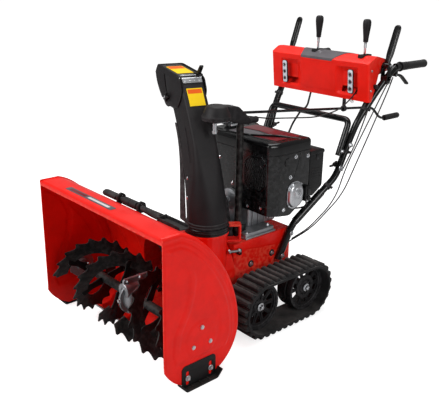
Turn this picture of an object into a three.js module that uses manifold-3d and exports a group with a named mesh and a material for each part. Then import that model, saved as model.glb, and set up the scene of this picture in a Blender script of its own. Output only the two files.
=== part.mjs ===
// Two stage snowblower on tracks, in millimetres, +Z up.
// The machine faces -Y. The origin is on the ground, under the middle of its box.
// Below, Y is counted from the front lip of the auger housing, and the last group moves everything
// to the origin.
import * as THREE from "three";
import { mergeVertices } from "three/addons/utils/BufferGeometryUtils.js";
import Module from "manifold-3d";

const wasm = await Module();
wasm.setup();

// Driving dimensions
const CLEARING_WIDTH = 711;
const INTAKE_HEIGHT = 515;
const OVERALL_LENGTH = 1400;
const SHEET = 3.5;
const GAP = 0.3;
const HALF_WIDTH = CLEARING_WIDTH / 2;
const INNER_HALF = HALF_WIDTH - SHEET;

// First stage: the auger and its gearbox
const AUGER_Y = 141.5;
const AUGER_Z = 154.6;
const AUGER_RADIUS = 140;
const AUGER_PIPE = 16;
const AUGER_START = 40;
const AUGER_END = 326;
const RIBBON_WIDTH = 62;
const RIBBON_TURNS = 0.95;
const SHAFT_RADIUS = 9.9;
const BELLY_RADIUS = 157;
const BELLY_FLOOR = 10;
const SCRAPER_Y = 150;
const GEARBOX_RADIUS = 48;
const GEARBOX_FLANGE = 62;

// Second stage: the impeller in its drum, and the outlet that the chute stands on
const IMPELLER_Z = 187;
const IMPELLER_RADIUS = 144;
const DRUM_BORE = 150;
const DRUM_BACK = 470;
const IMPELLER_SHAFT = 12.3;
const OUTLET_X = 82;
const OUTLET_Y = 397;
const OUTLET_BORE = 69;
const OUTLET_TOP = 362;

// Chute: leans forward as it rises, measured along its own heading
const CHUTE_HEADING = THREE.MathUtils.degToRad(-105);
const CHUTE_FOOT = 368;
const CHUTE_STRAIGHT = 400;
const CHUTE_TOP = 880;
const CHUTE_TUBE = 70;
const CHUTE_HALF = 44;
const CHUTE_WALL = 3;
const HINGE_OUT = 136;
const HINGE_Z = 871;
const HOOD_REACH = 190;
const KNOB_RADIUS = 119;

// Drive line
const PULLEY_Y = 511;
const CRANK_Z = 415;
const IMPELLER_GROOVE = 83.6;
const ENGINE_GROOVE = 27.6;
const FLANGE_RISE = 6.4;
const BELT_INNER_RISE = 0.4;
const BELT_OUTER_RISE = 8;

// Frame and tracks
const FRAME_HALF = 140;
const FRAME_FRONT = 474;
const FRAME_BACK = 765;
const FRAME_TOP = 300;
const FRAME_BOTTOM = 80;
const TRACK_INNER_X = 197;
const TRACK_OUTER_X = 313;
const TRACK_FRONT_Y = 484;
const TRACK_BACK_Y = 722;
const TRACK_HUB_Z = 107;
const WHEEL_RADIUS = 87;
const BELT_THICKNESS = 10;
const LUG_COUNT = 36;
const AXLE_RADIUS = 10;
const WHEEL_FACE = 270;

// Engine
const ENGINE_LEFT = 200;
const ENGINE_RIGHT = -92;
const ENGINE_FRONT = 588;
const ENGINE_BACK = 790;
const ENGINE_TOP = 657;
const STARTER_Y = 712;
const STARTER_Z = 455;

// Handles and controls
const TUBE_RADIUS = 13;
const GRIP_X = 246;
const GRIP_RADIUS = 16;
const GRIP_START = 1226;
const CLUTCH_Y = 1142;
const CLUTCH_Z = 888;
const CLUTCH_LEAN = THREE.MathUtils.degToRad(19.9);
const CLUTCH_LENGTH = 155;
const TRIGGER_Y = 1196;
const TRIGGER_Z = 849;
const CONSOLE_HALF = 247;
const CONSOLE_BACK_HALF = 222;
const LEVER_Y = 1080;
const LEVER_Z = 872;
const SPEED_LEVER_X = -42;
const DEFLECTOR_LEVER_X = 186;

const paint = new THREE.MeshStandardMaterial({ color: 0xd8180c, roughness: 0.35, metalness: 0.2 });
const redPlastic = new THREE.MeshStandardMaterial({ color: 0xe0281a, roughness: 0.45, metalness: 0 });
const blackPaint = new THREE.MeshStandardMaterial({ color: 0x1c1c1e, roughness: 0.4, metalness: 0.3 });
const blackPlastic = new THREE.MeshStandardMaterial({ color: 0x232225, roughness: 0.65, metalness: 0 });
const grip = new THREE.MeshStandardMaterial({ color: 0x19191a, roughness: 0.85, metalness: 0 });
const rubber = new THREE.MeshStandardMaterial({ color: 0x141415, roughness: 0.9, metalness: 0 });
const steel = new THREE.MeshStandardMaterial({ color: 0xb9bcc0, roughness: 0.35, metalness: 1 });
const cast = new THREE.MeshStandardMaterial({ color: 0x8d9094, roughness: 0.6, metalness: 0.8 });
const lens = new THREE.MeshStandardMaterial({ color: 0xe6ebf0, roughness: 0.15, metalness: 0 });

// ---- Solids ----------------------------------------------------------------------------------------

// A closed geometry as a manifold-3d solid.
function solid(geometry) {
  const bare = geometry.clone();
  bare.deleteAttribute("normal");
  bare.deleteAttribute("uv");
  const merged = mergeVertices(bare, 1e-3);
  const corners = [...merged.index.array];
  const triVerts = [];
  for (let i = 0; i < corners.length; i += 3) {
    const [a, b, c] = corners.slice(i, i + 3);
    if (a !== b && b !== c && c !== a) triVerts.push(a, b, c);
  }
  const vertProperties = merged.attributes.position.array;
  const mesh = new wasm.Mesh({ numProp: 3, vertProperties, triVerts: new Uint32Array(triVerts) });
  return new wasm.Manifold(mesh);
}

function geometryOf(body) {
  const { vertProperties, triVerts } = body.getMesh();
  const geometry = new THREE.BufferGeometry();
  geometry.setAttribute("position", new THREE.BufferAttribute(new Float32Array(vertProperties), 3));
  geometry.setIndex(new THREE.BufferAttribute(new Uint32Array(triVerts), 1));
  geometry.computeVertexNormals();
  return geometry;
}

function join(...bodies) {
  return bodies.reduce((sum, body) => sum.add(body));
}

function cut(body, ...tools) {
  return tools.reduce((left, tool) => left.subtract(tool), body);
}

function block([x0, x1], [y0, y1], [z0, z1]) {
  const geometry = new THREE.BoxGeometry(x1 - x0, y1 - y0, z1 - z0);
  return solid(geometry.translate((x0 + x1) / 2, (y0 + y1) / 2, (z0 + z1) / 2));
}

// The matrix that stands a shape's depth along an axis: its own x and y become the other two, in order.
function standing(axis) {
  const [x, y, z] = [new THREE.Vector3(1, 0, 0), new THREE.Vector3(0, 1, 0), new THREE.Vector3(0, 0, 1)];
  if (axis === "x") return new THREE.Matrix4().makeBasis(y, z, x);
  if (axis === "y") return new THREE.Matrix4().makeBasis(x, z, y.negate());
  return new THREE.Matrix4();
}

// A flat outline, as pairs of the two other coordinates, pulled along an axis.
function plate(axis, outline, from, to) {
  const shape = new THREE.Shape(outline.map(([a, b]) => new THREE.Vector2(a, b)));
  const geometry = new THREE.ExtrudeGeometry(shape, { depth: to - from, bevelEnabled: false });
  geometry.translate(0, 0, axis === "y" ? -to : from);
  return solid(geometry.applyMatrix4(standing(axis)));
}

function circle(a, b, radius, segments = 16) {
  return arc(a, b, radius, 0, 360 - 360 / segments, segments - 1);
}

function rod(axis, radius, from, to, a, b, segments = 16) {
  return plate(axis, circle(a, b, radius, segments), from, to);
}

function arc(a, b, radius, start, end, steps) {
  const points = [];
  for (let i = 0; i <= steps; i += 1) {
    const angle = THREE.MathUtils.degToRad(start + ((end - start) * i) / steps);
    points.push([a + radius * Math.cos(angle), b + radius * Math.sin(angle)]);
  }
  return points;
}

function roundedBox(a0, a1, b0, b1, radius, steps = 3) {
  return [
    ...arc(a1 - radius, b0 + radius, radius, -90, 0, steps),
    ...arc(a1 - radius, b1 - radius, radius, 0, 90, steps),
    ...arc(a0 + radius, b1 - radius, radius, 90, 180, steps),
    ...arc(a0 + radius, b0 + radius, radius, 180, 270, steps),
  ];
}

// An anticlockwise outline moved outwards by a distance, or inwards by a negative one.
function offset(outline, distance) {
  const count = outline.length;
  return outline.map(([a, b], i) => {
    const before = outline[(i + count - 1) % count];
    const after = outline[(i + 1) % count];
    const inEdge = new THREE.Vector2(a - before[0], b - before[1]).normalize();
    const outEdge = new THREE.Vector2(after[0] - a, after[1] - b).normalize();
    const normal = new THREE.Vector2(inEdge.y + outEdge.y, -inEdge.x - outEdge.x).normalize();
    const stretch = distance / Math.max(0.4, normal.x * inEdge.y - normal.y * inEdge.x);
    return [a + normal.x * stretch, b + normal.y * stretch];
  });
}

// A round bar along a path with softened corners.
function bar(points, radius, sides = 10, steps = 26) {
  const path = new THREE.CatmullRomCurve3(softened(points, radius * 2.2), false, "centripetal");
  const section = new THREE.Shape(circle(0, 0, radius, sides).map(([a, b]) => new THREE.Vector2(a, b)));
  return solid(new THREE.ExtrudeGeometry(section, { extrudePath: path, steps, bevelEnabled: false }));
}

function softened(points, reach) {
  const vectors = points.map((point) => new THREE.Vector3(...point));
  const path = [vectors[0]];
  for (let i = 1; i < vectors.length - 1; i += 1) {
    const corner = vectors[i];
    const back = vectors[i - 1].clone().sub(corner).setLength(reach).add(corner);
    const ahead = vectors[i + 1].clone().sub(corner).setLength(reach).add(corner);
    const middle = back.clone().add(ahead).add(corner).add(corner).multiplyScalar(0.25);
    path.push(back, middle, ahead);
  }
  path.push(vectors.at(-1));
  return path;
}

// A solid of revolution about an axis: the profile is pairs of radius and place along it.
function turned(axis, profile, a, b, segments = 18) {
  const points = profile.map(([radius, place]) => new THREE.Vector2(radius, place));
  const geometry = new THREE.LatheGeometry([...points, points[0]], segments);
  geometry.rotateX(Math.PI / 2);
  if (axis === "x") geometry.rotateY(Math.PI / 2).translate(0, a, b);
  if (axis === "y") geometry.rotateX(-Math.PI / 2).translate(a, 0, b);
  if (axis === "z") geometry.translate(a, b, 0);
  return solid(geometry);
}

// ---- First stage -----------------------------------------------------------------------------------

// Side view of the auger housing as pairs of y and z: a round belly, then a long curve up to the roof.
function housingOutline() {
  const back = new THREE.CubicBezierCurve(
    new THREE.Vector2(AUGER_Y + BELLY_RADIUS, AUGER_Z),
    new THREE.Vector2(298, 330),
    new THREE.Vector2(150, 495),
    new THREE.Vector2(66, INTAKE_HEIGHT),
  );
  return [
    ...arc(AUGER_Y, AUGER_Z, BELLY_RADIUS, -154.3, -113, 5),
    ...arc(AUGER_Y, AUGER_Z, BELLY_RADIUS, -67, 0, 7),
    ...back.getPoints(10).slice(1).map((p) => [p.x, p.y]),
    [0, INTAKE_HEIGHT],
  ];
}

function augerHousing() {
  const outline = housingOutline();
  const shell = plate("x", outline, -HALF_WIDTH, HALF_WIDTH);
  const hollow = plate("x", offset(outline, -SHEET), -INNER_HALF, INNER_HALF);
  const mouth = block([-INNER_HALF, INNER_HALF], [-1, 12], [60, INTAKE_HEIGHT - SHEET]);
  const chin = block([-INNER_HALF, INNER_HALF], [-1, SCRAPER_Y + 6], [-1, 60]);
  const lip = block([-INNER_HALF - 1, INNER_HALF + 1], [0, SHEET], [INTAKE_HEIGHT - 18, INTAKE_HEIGHT - 2]);
  const throat = rod("y", DRUM_BORE, 180, 330, 0, IMPELLER_Z, 32);
  return join(cut(shell, hollow, mouth, chin, throat), lip);
}

function scraperBar() {
  return block([-INNER_HALF + 0.5, INNER_HALF - 0.5], [SCRAPER_Y, SCRAPER_Y + 48], [3, BELLY_FLOOR - 0.4]);
}

// The shoe's plate slides on two bolts through its upright slots, over a foot with turned up ends.
function skidShoe() {
  const inner = HALF_WIDTH + 0.5;
  const side = plate("x", roundedBox(62, 202, 1, 82, 12), inner, inner + 5);
  const foot = [[48, 24], [70, 0], [194, 0], [216, 24], [211, 28.5], [191.5, 6], [72.5, 6], [53, 28.5]];
  const slots = [86, 178].map((y) => plate("x", roundedBox(y - 6, y + 6, 12, 60, 5.9), inner - 1, inner + 6));
  return cut(join(side, plate("x", foot, inner, 380)), ...slots);
}

function augerBearing() {
  const flange = [[10.3, 347.5], [50, 347.5], [50, INNER_HALF - 0.3], [10.3, INNER_HALF - 0.3]];
  const hub = [[10.3, 332], [24, 332], [24, 348], [10.3, 348]];
  return join(turned("x", flange, AUGER_Y, AUGER_Z), turned("x", hub, AUGER_Y, AUGER_Z));
}

function augerShaft() {
  return rod("x", SHAFT_RADIUS, -350, 350, AUGER_Y, AUGER_Z);
}

// A spiral about the auger's axis, with its section kept square to that axis.
class Spiral extends THREE.Curve {
  constructor(radius, start, end, turns, phase) {
    super();
    Object.assign(this, { radius, start, end, turns, phase });
  }

  getPoint(t, target = new THREE.Vector3()) {
    const angle = this.phase + t * this.turns * 2 * Math.PI;
    const across = this.radius * Math.cos(angle);
    const up = this.radius * Math.sin(angle);
    return target.set(this.start + t * (this.end - this.start), AUGER_Y + across, AUGER_Z + up);
  }

  computeFrenetFrames(segments) {
    const frames = { tangents: [], normals: [], binormals: [] };
    for (let i = 0; i <= segments; i += 1) {
      const t = i / segments;
      const angle = this.phase + t * this.turns * 2 * Math.PI;
      const outwards = new THREE.Vector3(0, Math.cos(angle), Math.sin(angle));
      const tangent = this.getTangent(t);
      frames.tangents.push(tangent);
      frames.normals.push(outwards);
      frames.binormals.push(new THREE.Vector3().crossVectors(tangent, outwards).normalize());
    }
    return frames;
  }
}

function ribbon(phase) {
  const middle = AUGER_RADIUS - RIBBON_WIDTH / 2;
  const section = new THREE.Shape(
    [[-1, -1], [1, -1], [1, 1], [-1, 1]].map(([a, b]) => new THREE.Vector2((a * RIBBON_WIDTH) / 2, b * 2.5)),
  );
  const path = new Spiral(middle, AUGER_START + 6, AUGER_END - 6, RIBBON_TURNS, phase);
  return solid(new THREE.ExtrudeGeometry(section, { extrudePath: path, steps: 18, bevelEnabled: false }));
}

// Flat spokes that hold the ribbon on its pipe, at three places along it.
function spokes(phase) {
  return [0.12, 0.5, 0.88].map((t) => {
    const x = AUGER_START + 6 + t * (AUGER_END - AUGER_START - 12);
    const angle = phase + t * RIBBON_TURNS * 2 * Math.PI;
    const geometry = new THREE.BoxGeometry(5, AUGER_RADIUS - 36, 26);
    geometry.translate(0, (AUGER_RADIUS - 12) / 2, 0).rotateX(angle);
    return solid(geometry.translate(x, AUGER_Y, AUGER_Z));
  });
}

function augerFlight() {
  const pipe = rod("x", AUGER_PIPE, AUGER_START, AUGER_END, AUGER_Y, AUGER_Z);
  const starts = [0.4, 0.4 + Math.PI];
  const flights = starts.flatMap((phase) => [ribbon(phase), ...spokes(phase)]);
  const bore = rod("x", SHAFT_RADIUS + GAP, 0, HALF_WIDTH, AUGER_Y, AUGER_Z);
  return cut(join(pipe, ...flights), bore);
}

// A round case over the wheel and a tube over the worm, with the flange that its two halves are bolted by.
function gearboxCase() {
  const body = join(
    rod("x", GEARBOX_RADIUS, -34, 34, AUGER_Y, AUGER_Z, 24),
    rod("x", GEARBOX_FLANGE, -5, 5, AUGER_Y, AUGER_Z, 24),
    rod("y", 28, 96, 212, 0, IMPELLER_Z),
    block([-5, 5], [98, 218], [200, 230]),
  );
  const wheelRoom = rod("x", 26, -12, 12, AUGER_Y, AUGER_Z);
  const crossBore = rod("x", SHAFT_RADIUS + GAP, -60, 60, AUGER_Y, AUGER_Z);
  const wormBore = rod("y", IMPELLER_SHAFT + GAP, 102, 240, 0, IMPELLER_Z);
  return cut(body, wheelRoom, crossBore, wormBore);
}

function wormWheel() {
  const inner = SHAFT_RADIUS + GAP;
  return turned("x", [[inner, -8], [22, -8], [22, 8], [inner, 8]], AUGER_Y, AUGER_Z);
}

// The clearing tool lies in clips across the back of the roof.
function cleanOutTool() {
  const shaft = rod("x", 8, -90, 200, 134, 498, 12);
  const scoop = plate("x", roundedBox(118, 156, 489, 501, 5), 170, 285);
  const handle = plate("y", roundedBox(-146, -66, 484, 512, 13), 128, 140);
  return join(shaft, scoop, handle);
}

// ---- Second stage ----------------------------------------------------------------------------------

// A short square box on the side of the spout, open along its length.
function spoutBracket() {
  const box = block([-29, 29], [0, 34], [318, 380]);
  const window = block([-23, 23], [-1, 35], [324, 374]);
  const clearance = rod("z", 80, OUTLET_TOP + GAP, 400, OUTLET_X, OUTLET_Y, 28);
  return cut(cut(box, window).rotate([0, 0, 55]).translate([143.5, 465.5, 0]), clearance);
}

function impellerHousing() {
  const drum = rod("y", DRUM_BORE + SHEET, 180, DRUM_BACK, 0, IMPELLER_Z, 32);
  const spout = rod("z", OUTLET_BORE + SHEET, IMPELLER_Z, OUTLET_TOP, OUTLET_X, OUTLET_Y, 28);
  const collar = rod("z", 78, OUTLET_TOP - 8, OUTLET_TOP, OUTLET_X, OUTLET_Y, 28);
  const augerSide = plate("x", offset(housingOutline(), 0.4), -HALF_WIDTH - 1, HALF_WIDTH + 1);
  const room = rod("y", DRUM_BORE, 100, DRUM_BACK - SHEET, 0, IMPELLER_Z, 32);
  const bore = rod("z", OUTLET_BORE, IMPELLER_Z, OUTLET_TOP + 1, OUTLET_X, OUTLET_Y, 28);
  const shaftHole = rod("y", IMPELLER_SHAFT + GAP, DRUM_BACK - 20, DRUM_BACK + 20, 0, IMPELLER_Z);
  return cut(join(drum, spout, collar, spoutBracket()), augerSide, room, bore, shaftHole);
}

function impellerShaft() {
  const worm = rod("y", 9.5, 104, 180, 0, IMPELLER_Z);
  return join(worm, rod("y", IMPELLER_SHAFT, 178, 548, 0, IMPELLER_Z));
}

function impeller() {
  const blades = [45, 135, 225, 315].map((turn) => {
    const line = [[20, -3], [IMPELLER_RADIUS, -3], [IMPELLER_RADIUS - 4, 12], [132, 3], [20, 3]];
    return plate("y", line, 310, 452).rotate([0, turn, 0]).translate([0, 0, IMPELLER_Z]);
  });
  const hub = rod("y", 27, 304, 456, 0, IMPELLER_Z);
  return cut(join(hub, ...blades), rod("y", IMPELLER_SHAFT + GAP, 290, 470, 0, IMPELLER_Z));
}

// ---- Chute -----------------------------------------------------------------------------------------

function chuteRing() {
  const profile = [[CHUTE_TUBE + 2.5, 362.5], [79, 362.5], [79, 384], [CHUTE_TUBE + 2.5, 384]];
  return turned("z", profile, OUTLET_X, OUTLET_Y, 28);
}

function rise(z) {
  return Math.max(0, (z - CHUTE_STRAIGHT) / (CHUTE_TOP - CHUTE_STRAIGHT));
}

function chuteBack(z) {
  return -CHUTE_TUBE + 210 * rise(z) ** 1.6;
}

function chuteFront(z) {
  return CHUTE_TUBE + 215 * rise(z) ** 1.75;
}

// How far the section has changed from a round tube to a flat backed channel.
function squareness(z) {
  return THREE.MathUtils.smoothstep(z, CHUTE_STRAIGHT, 690);
}

// One level of the chute's skin. Distance along the heading is -y, and it is turned to its heading later.
function chuteSection(z, inset) {
  const half = THREE.MathUtils.lerp(CHUTE_TUBE, CHUTE_HALF, squareness(z)) - inset;
  const radius = Math.min(THREE.MathUtils.lerp(CHUTE_TUBE, 13, squareness(z)), half + inset) - inset;
  const back = chuteBack(z) + inset;
  const front = chuteFront(z) - inset;
  return roundedBox(-half, half, -front, -back, radius - 0.01, 4).map(([x, y]) => [x, y, z]);
}

// A skin through levels that have the same number of points.
function loft(levels) {
  const count = levels[0].length;
  const positions = levels.flat(2);
  const index = [];
  for (let level = 0; level < levels.length - 1; level += 1) {
    for (let i = 0; i < count; i += 1) {
      const next = (i + 1) % count;
      const low = level * count;
      const high = low + count;
      index.push(low + i, low + next, high + next, low + i, high + next, high + i);
    }
  }
  const top = (levels.length - 1) * count;
  for (let i = 1; i < count - 1; i += 1) {
    index.push(0, i + 1, i);
    index.push(top, top + i, top + i + 1);
  }
  const geometry = new THREE.BufferGeometry();
  geometry.setAttribute("position", new THREE.Float32BufferAttribute(positions, 3));
  geometry.setIndex(index);
  return solid(geometry);
}

function chuteLevels(inset, from, to) {
  const heights = [from, CHUTE_STRAIGHT];
  for (let z = 460; z < to; z += 60) heights.push(z);
  heights.push(to);
  return heights.map((z) => chuteSection(z, inset));
}

function chuteBody() {
  const skin = loft(chuteLevels(0, CHUTE_FOOT, CHUTE_TOP + 10));
  const bore = loft(chuteLevels(CHUTE_WALL, CHUTE_FOOT - 1, CHUTE_TOP + 11));
  const mouth = [[-600, 600], [-600, 840]];
  for (let z = 840; z >= 600; z -= 40) mouth.push([-chuteFront(z) + 10, z]);
  const opening = plate("x", mouth, -CHUTE_HALF + CHUTE_WALL, CHUTE_HALF - CHUTE_WALL);
  const above = [[-600, 1100], [-600, 803], [-226, 803], [-HINGE_OUT, HINGE_Z], [0, 900], [0, 1100]];
  return cut(skin, bore, opening, plate("x", above, -90, 90));
}

// The hood: a roof from the hinge to its tip, and two cheeks outside the chute's walls, slotted for the knob.
function chuteDeflector() {
  const inner = CHUTE_HALF + 1.2;
  const outer = inner + 2.8;
  const start = HINGE_OUT + 1;
  const tip = HINGE_OUT + HOOD_REACH;
  const roofLine = [[-start, 874.5], [-tip, 890.5], [-tip, 886.5], [-start, 871]];
  const cheekLine = [
    [-start + 14, 866], [-start, 874.5], [-tip, 890.5], [-tip - 17, 869], [-tip - 4, 832], [-tip + 20, 803],
    ...arc(-HINGE_OUT - 95, 797, 40, 205, 300, 5), [-160, 762], [-134, 776], [-118, 798], [-112, 826],
  ];
  const slot = [
    ...arc(-HINGE_OUT, HINGE_Z, KNOB_RADIUS + 4.5, 181, 225, 7),
    ...arc(-HINGE_OUT, HINGE_Z, KNOB_RADIUS - 4.5, 225, 181, 7),
  ];
  const roof = plate("x", roofLine, -outer, outer);
  const cheeks = [[-outer, -inner], [inner, outer]].map(([from, to]) => plate("x", cheekLine, from, to));
  return cut(join(roof, ...cheeks), plate("x", slot, -90, 90));
}

// The chute's drive: a dome over the gear on its plate, and an arm back to the crank rod.
function chuteDriveCover() {
  const dome = turned("z", [[0.01, 748], [50, 748], [50, 760], [36, 797], [0.01, 798]], 88, 430, 18);
  const armLine = [[432, 750], [484, 735], [530, 722], [572, 722], [572, 734], [512, 786], [432, 797]];
  const arm = plate("x", armLine, 62, 112);
  const nose = rod("y", 11, 560, 618, 90, 726, 14);
  const room = turned("z", [[0.01, 700], [47, 700], [47, 759], [34, 793], [0.01, 794]], 88, 430, 18);
  const seat = rod("y", 8.5, 546, 640, 86, 756, 12);
  const bed = block([56, 112], [476, 506], [724, 731]);
  const stay = block([70, 100], [484, 500], [730, 745]);
  return join(cut(join(dome, arm, nose), room, seat), bed, stay);
}

function chuteColumn() {
  const post = rod("z", TUBE_RADIUS, FRAME_TOP + GAP, 722 - GAP, 80, 547, 16);
  return join(post, block([58, 102], [534, 575], [FRAME_TOP + GAP, FRAME_TOP + 6]));
}

function crankRod() {
  return bar([[86, 558, 756], [140, 1222, 703], [146, 1274, 651], [146, 1396, 650]], 5, 6, 22);
}

function crankGrip() {
  const sleeve = rod("y", 12, 1302, OVERALL_LENGTH, 146, 650, 16);
  return cut(sleeve, rod("y", 6.2, 1290, 1398, 146, 650, 10));
}

// ---- Drive line ------------------------------------------------------------------------------------

function pulleyProfile(groove, bore) {
  const flange = groove + FLANGE_RISE;
  const edge = PULLEY_Y - 11;
  const far = PULLEY_Y + 11;
  const wall = [[flange, edge], [groove, edge + 5.5], [groove, far - 5.5], [flange, far]];
  return [[bore, edge], ...wall, [bore, far]];
}

function impellerPulley() {
  return turned("y", pulleyProfile(IMPELLER_GROOVE, IMPELLER_SHAFT + GAP), 0, IMPELLER_Z, 32);
}

function crankshaftPulley() {
  const wheel = turned("y", pulleyProfile(ENGINE_GROOVE, 2), 0, CRANK_Z);
  return join(wheel, rod("y", 12, 497, 586, 0, CRANK_Z));
}

// The line round both pulleys, that much outside their grooves.
function beltLine(riseAbove) {
  const lower = IMPELLER_GROOVE + riseAbove;
  const upper = ENGINE_GROOVE + riseAbove;
  const slope = THREE.MathUtils.radToDeg(Math.asin((lower - upper) / (CRANK_Z - IMPELLER_Z)));
  return [
    ...arc(0, IMPELLER_Z, lower, 180 - slope, 360 + slope, 20),
    ...arc(0, CRANK_Z, upper, slope, 180 - slope, 9),
  ];
}

function driveBelt() {
  const outer = plate("y", beltLine(BELT_OUTER_RISE), PULLEY_Y - 5, PULLEY_Y + 5);
  return cut(outer, plate("y", beltLine(BELT_INNER_RISE), PULLEY_Y - 20, PULLEY_Y + 20));
}

function beltCover() {
  const shell = plate("y", beltLine(17), 488, 530);
  const hollow = plate("y", beltLine(14.5), 490.5, 531);
  const below = block([-200, 200], [400, 600], [0, FRAME_TOP + GAP]);
  return cut(shell, hollow, below);
}

// ---- Frame and tracks ------------------------------------------------------------------------------

function frameTub() {
  const side = [
    [FRAME_FRONT, FRAME_BOTTOM], [748, FRAME_BOTTOM], [FRAME_BACK, 130],
    [FRAME_BACK, FRAME_TOP], [FRAME_FRONT, FRAME_TOP],
  ];
  const room = offset(side, -SHEET).map(([y, z]) => [y, z < FRAME_BOTTOM + 10 ? z - 20 : z]);
  const outer = plate("x", side, -FRAME_HALF, FRAME_HALF);
  const inner = plate("x", room, -FRAME_HALF + SHEET, FRAME_HALF - SHEET);
  const beltWay = block([-76, 76], [496, 528], [250, FRAME_TOP + 1]);
  const shaftHole = rod("y", IMPELLER_SHAFT + GAP, FRAME_FRONT - 5, FRAME_FRONT + 10, 0, IMPELLER_Z);
  const axleHole = rod("x", AXLE_RADIUS + GAP, -200, 200, TRACK_BACK_Y, TRACK_HUB_Z);
  return cut(outer, inner, beltWay, shaftHole, axleHole);
}

function trackBeam() {
  const web = plate("x", roundedBox(466, 744, 85, 129, 20), 156, 162);
  const spacer = block([FRAME_HALF + GAP, 157], [536, 676], [92, 122]);
  const pin = rod("x", AXLE_RADIUS, 157, WHEEL_FACE + 4, TRACK_FRONT_Y, TRACK_HUB_Z);
  const axleHole = rod("x", AXLE_RADIUS + GAP, 100, 200, TRACK_BACK_Y, TRACK_HUB_Z);
  return cut(join(web, spacer, pin), axleHole);
}

function driveAxle() {
  return rod("x", AXLE_RADIUS, 3, WHEEL_FACE + 4, TRACK_BACK_Y, TRACK_HUB_Z);
}

function trackWheel(y) {
  const bore = AXLE_RADIUS + GAP;
  const outer = WHEEL_RADIUS - 0.2;
  const rim = [[outer - 8, 208], [outer, 208], [outer, WHEEL_FACE + 6], [outer - 8, WHEEL_FACE + 6]];
  const hub = [[bore, 204], [22, 204], [22, WHEEL_FACE], [bore, WHEEL_FACE]];
  const [webBack, webFace] = [WHEEL_FACE - 10, WHEEL_FACE - 3];
  const web = [[20, webBack], [outer - 4, webBack], [outer - 4, webFace], [20, webFace]];
  const holes = arc(0, 0, 52, 0, 288, 4).map(([a, b]) => rod("x", 16, 240, 300, y + a, TRACK_HUB_Z + b, 7));
  const turnedParts = [rim, hub, web].map((profile) => turned("x", profile, y, TRACK_HUB_Z, 22));
  return cut(join(...turnedParts), ...holes);
}

// A point of the track's loop: how far along it, and how far outside the wheels.
function loopPoint(along, out) {
  const reach = TRACK_BACK_Y - TRACK_FRONT_Y;
  const half = Math.PI * (WHEEL_RADIUS + BELT_THICKNESS);
  const radius = WHEEL_RADIUS + out;
  if (along < reach) return [TRACK_FRONT_Y + along, TRACK_HUB_Z - radius];
  if (along < reach + half) {
    const angle = ((along - reach) / half) * Math.PI - Math.PI / 2;
    return [TRACK_BACK_Y + radius * Math.cos(angle), TRACK_HUB_Z + radius * Math.sin(angle)];
  }
  if (along < 2 * reach + half) return [TRACK_BACK_Y - (along - reach - half), TRACK_HUB_Z + radius];
  const angle = ((along - 2 * reach - half) / half) * Math.PI + Math.PI / 2;
  return [TRACK_FRONT_Y + radius * Math.cos(angle), TRACK_HUB_Z + radius * Math.sin(angle)];
}

function trackBelt() {
  const loop = 2 * (TRACK_BACK_Y - TRACK_FRONT_Y) + 2 * Math.PI * (WHEEL_RADIUS + BELT_THICKNESS);
  const pitch = loop / LUG_COUNT;
  const tread = TRACK_HUB_Z - WHEEL_RADIUS;
  const outer = [];
  const inner = [];
  for (let lug = 0; lug < LUG_COUNT; lug += 1) {
    const base = lug * pitch;
    outer.push(loopPoint(base, BELT_THICKNESS), loopPoint(base + 0.12 * pitch, tread));
    outer.push(loopPoint(base + 0.48 * pitch, tread), loopPoint(base + 0.6 * pitch, BELT_THICKNESS));
    inner.push(loopPoint(base, 0.4), loopPoint(base + pitch / 2, 0.4));
  }
  const belt = plate("x", outer, TRACK_INNER_X, TRACK_OUTER_X);
  return cut(belt, plate("x", inner, TRACK_INNER_X - 5, TRACK_OUTER_X + 5));
}

// ---- Engine ----------------------------------------------------------------------------------------

function engineBlock() {
  const foot = block([-120, 138], [536, 690], [FRAME_TOP + GAP, 322]);
  const postWay = rod("z", 24, FRAME_TOP - 5, 340, 80, 547);
  const postFootWay = block([57, 103], [530, 576], [FRAME_TOP - 5, FRAME_TOP + 7]);
  const crankcase = block([-84, 84], [594, 743], [318, 480]);
  const nose = rod("y", 40, 572, 596, 0, CRANK_Z);
  const barrel = block([-174, -80], [612, 700], [404, 500]);
  const shaftHole = rod("y", 12.4, 560, 592, 0, CRANK_Z);
  return cut(join(cut(foot, postWay, postFootWay), crankcase, nose, barrel), shaftHole);
}

function engineShroud() {
  const side = [
    [ENGINE_FRONT, 392], [690, 376], [ENGINE_BACK, 440],
    [ENGINE_BACK, ENGINE_TOP], [ENGINE_FRONT, ENGINE_TOP],
  ];
  const room = offset(side, -SHEET).map(([y, z]) => [y, z < 460 ? z - 20 : z]);
  const shell = plate("x", side, ENGINE_RIGHT, ENGINE_LEFT);
  const hollow = plate("x", room, ENGINE_RIGHT + SHEET, ENGINE_LEFT - SHEET);
  const noseHole = rod("y", 41, 580, 600, 0, CRANK_Z);
  const noseSlot = block([-41, 41], [580, 593], [360, CRANK_Z]);
  const barrelWay = block([-100, -80], [606, 706], [360, 506]);
  const recoilWay = block([-90, 90], [780, 795], [400, 506]);
  const starterWay = rod("x", 40, 180, 210, STARTER_Y, STARTER_Z);
  return cut(shell, hollow, noseHole, noseSlot, barrelWay, recoilWay, starterWay);
}

function rearCover() {
  const side = [[ENGINE_BACK + GAP, 440], [812, 424], [867, 458], [867, 602], [ENGINE_BACK + GAP, 602]];
  const room = offset(side, -SHEET).map(([y, z]) => [y < 800 ? y - 10 : y, z]);
  return cut(plate("x", side, 95, ENGINE_LEFT), plate("x", room, 95 + SHEET, ENGINE_LEFT - SHEET));
}

function recoilHousing() {
  return turned("y", [[0.01, 746], [86, 746], [86, 800], [70, 828], [0.01, 830]], 0, CRANK_Z, 32);
}

function recoilHandle() {
  const stem = rod("y", 6, 831, 850, -40, 470, 12);
  return join(stem, plate("y", roundedBox(-66, -14, 463, 477, 6), 846, 862));
}

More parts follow.
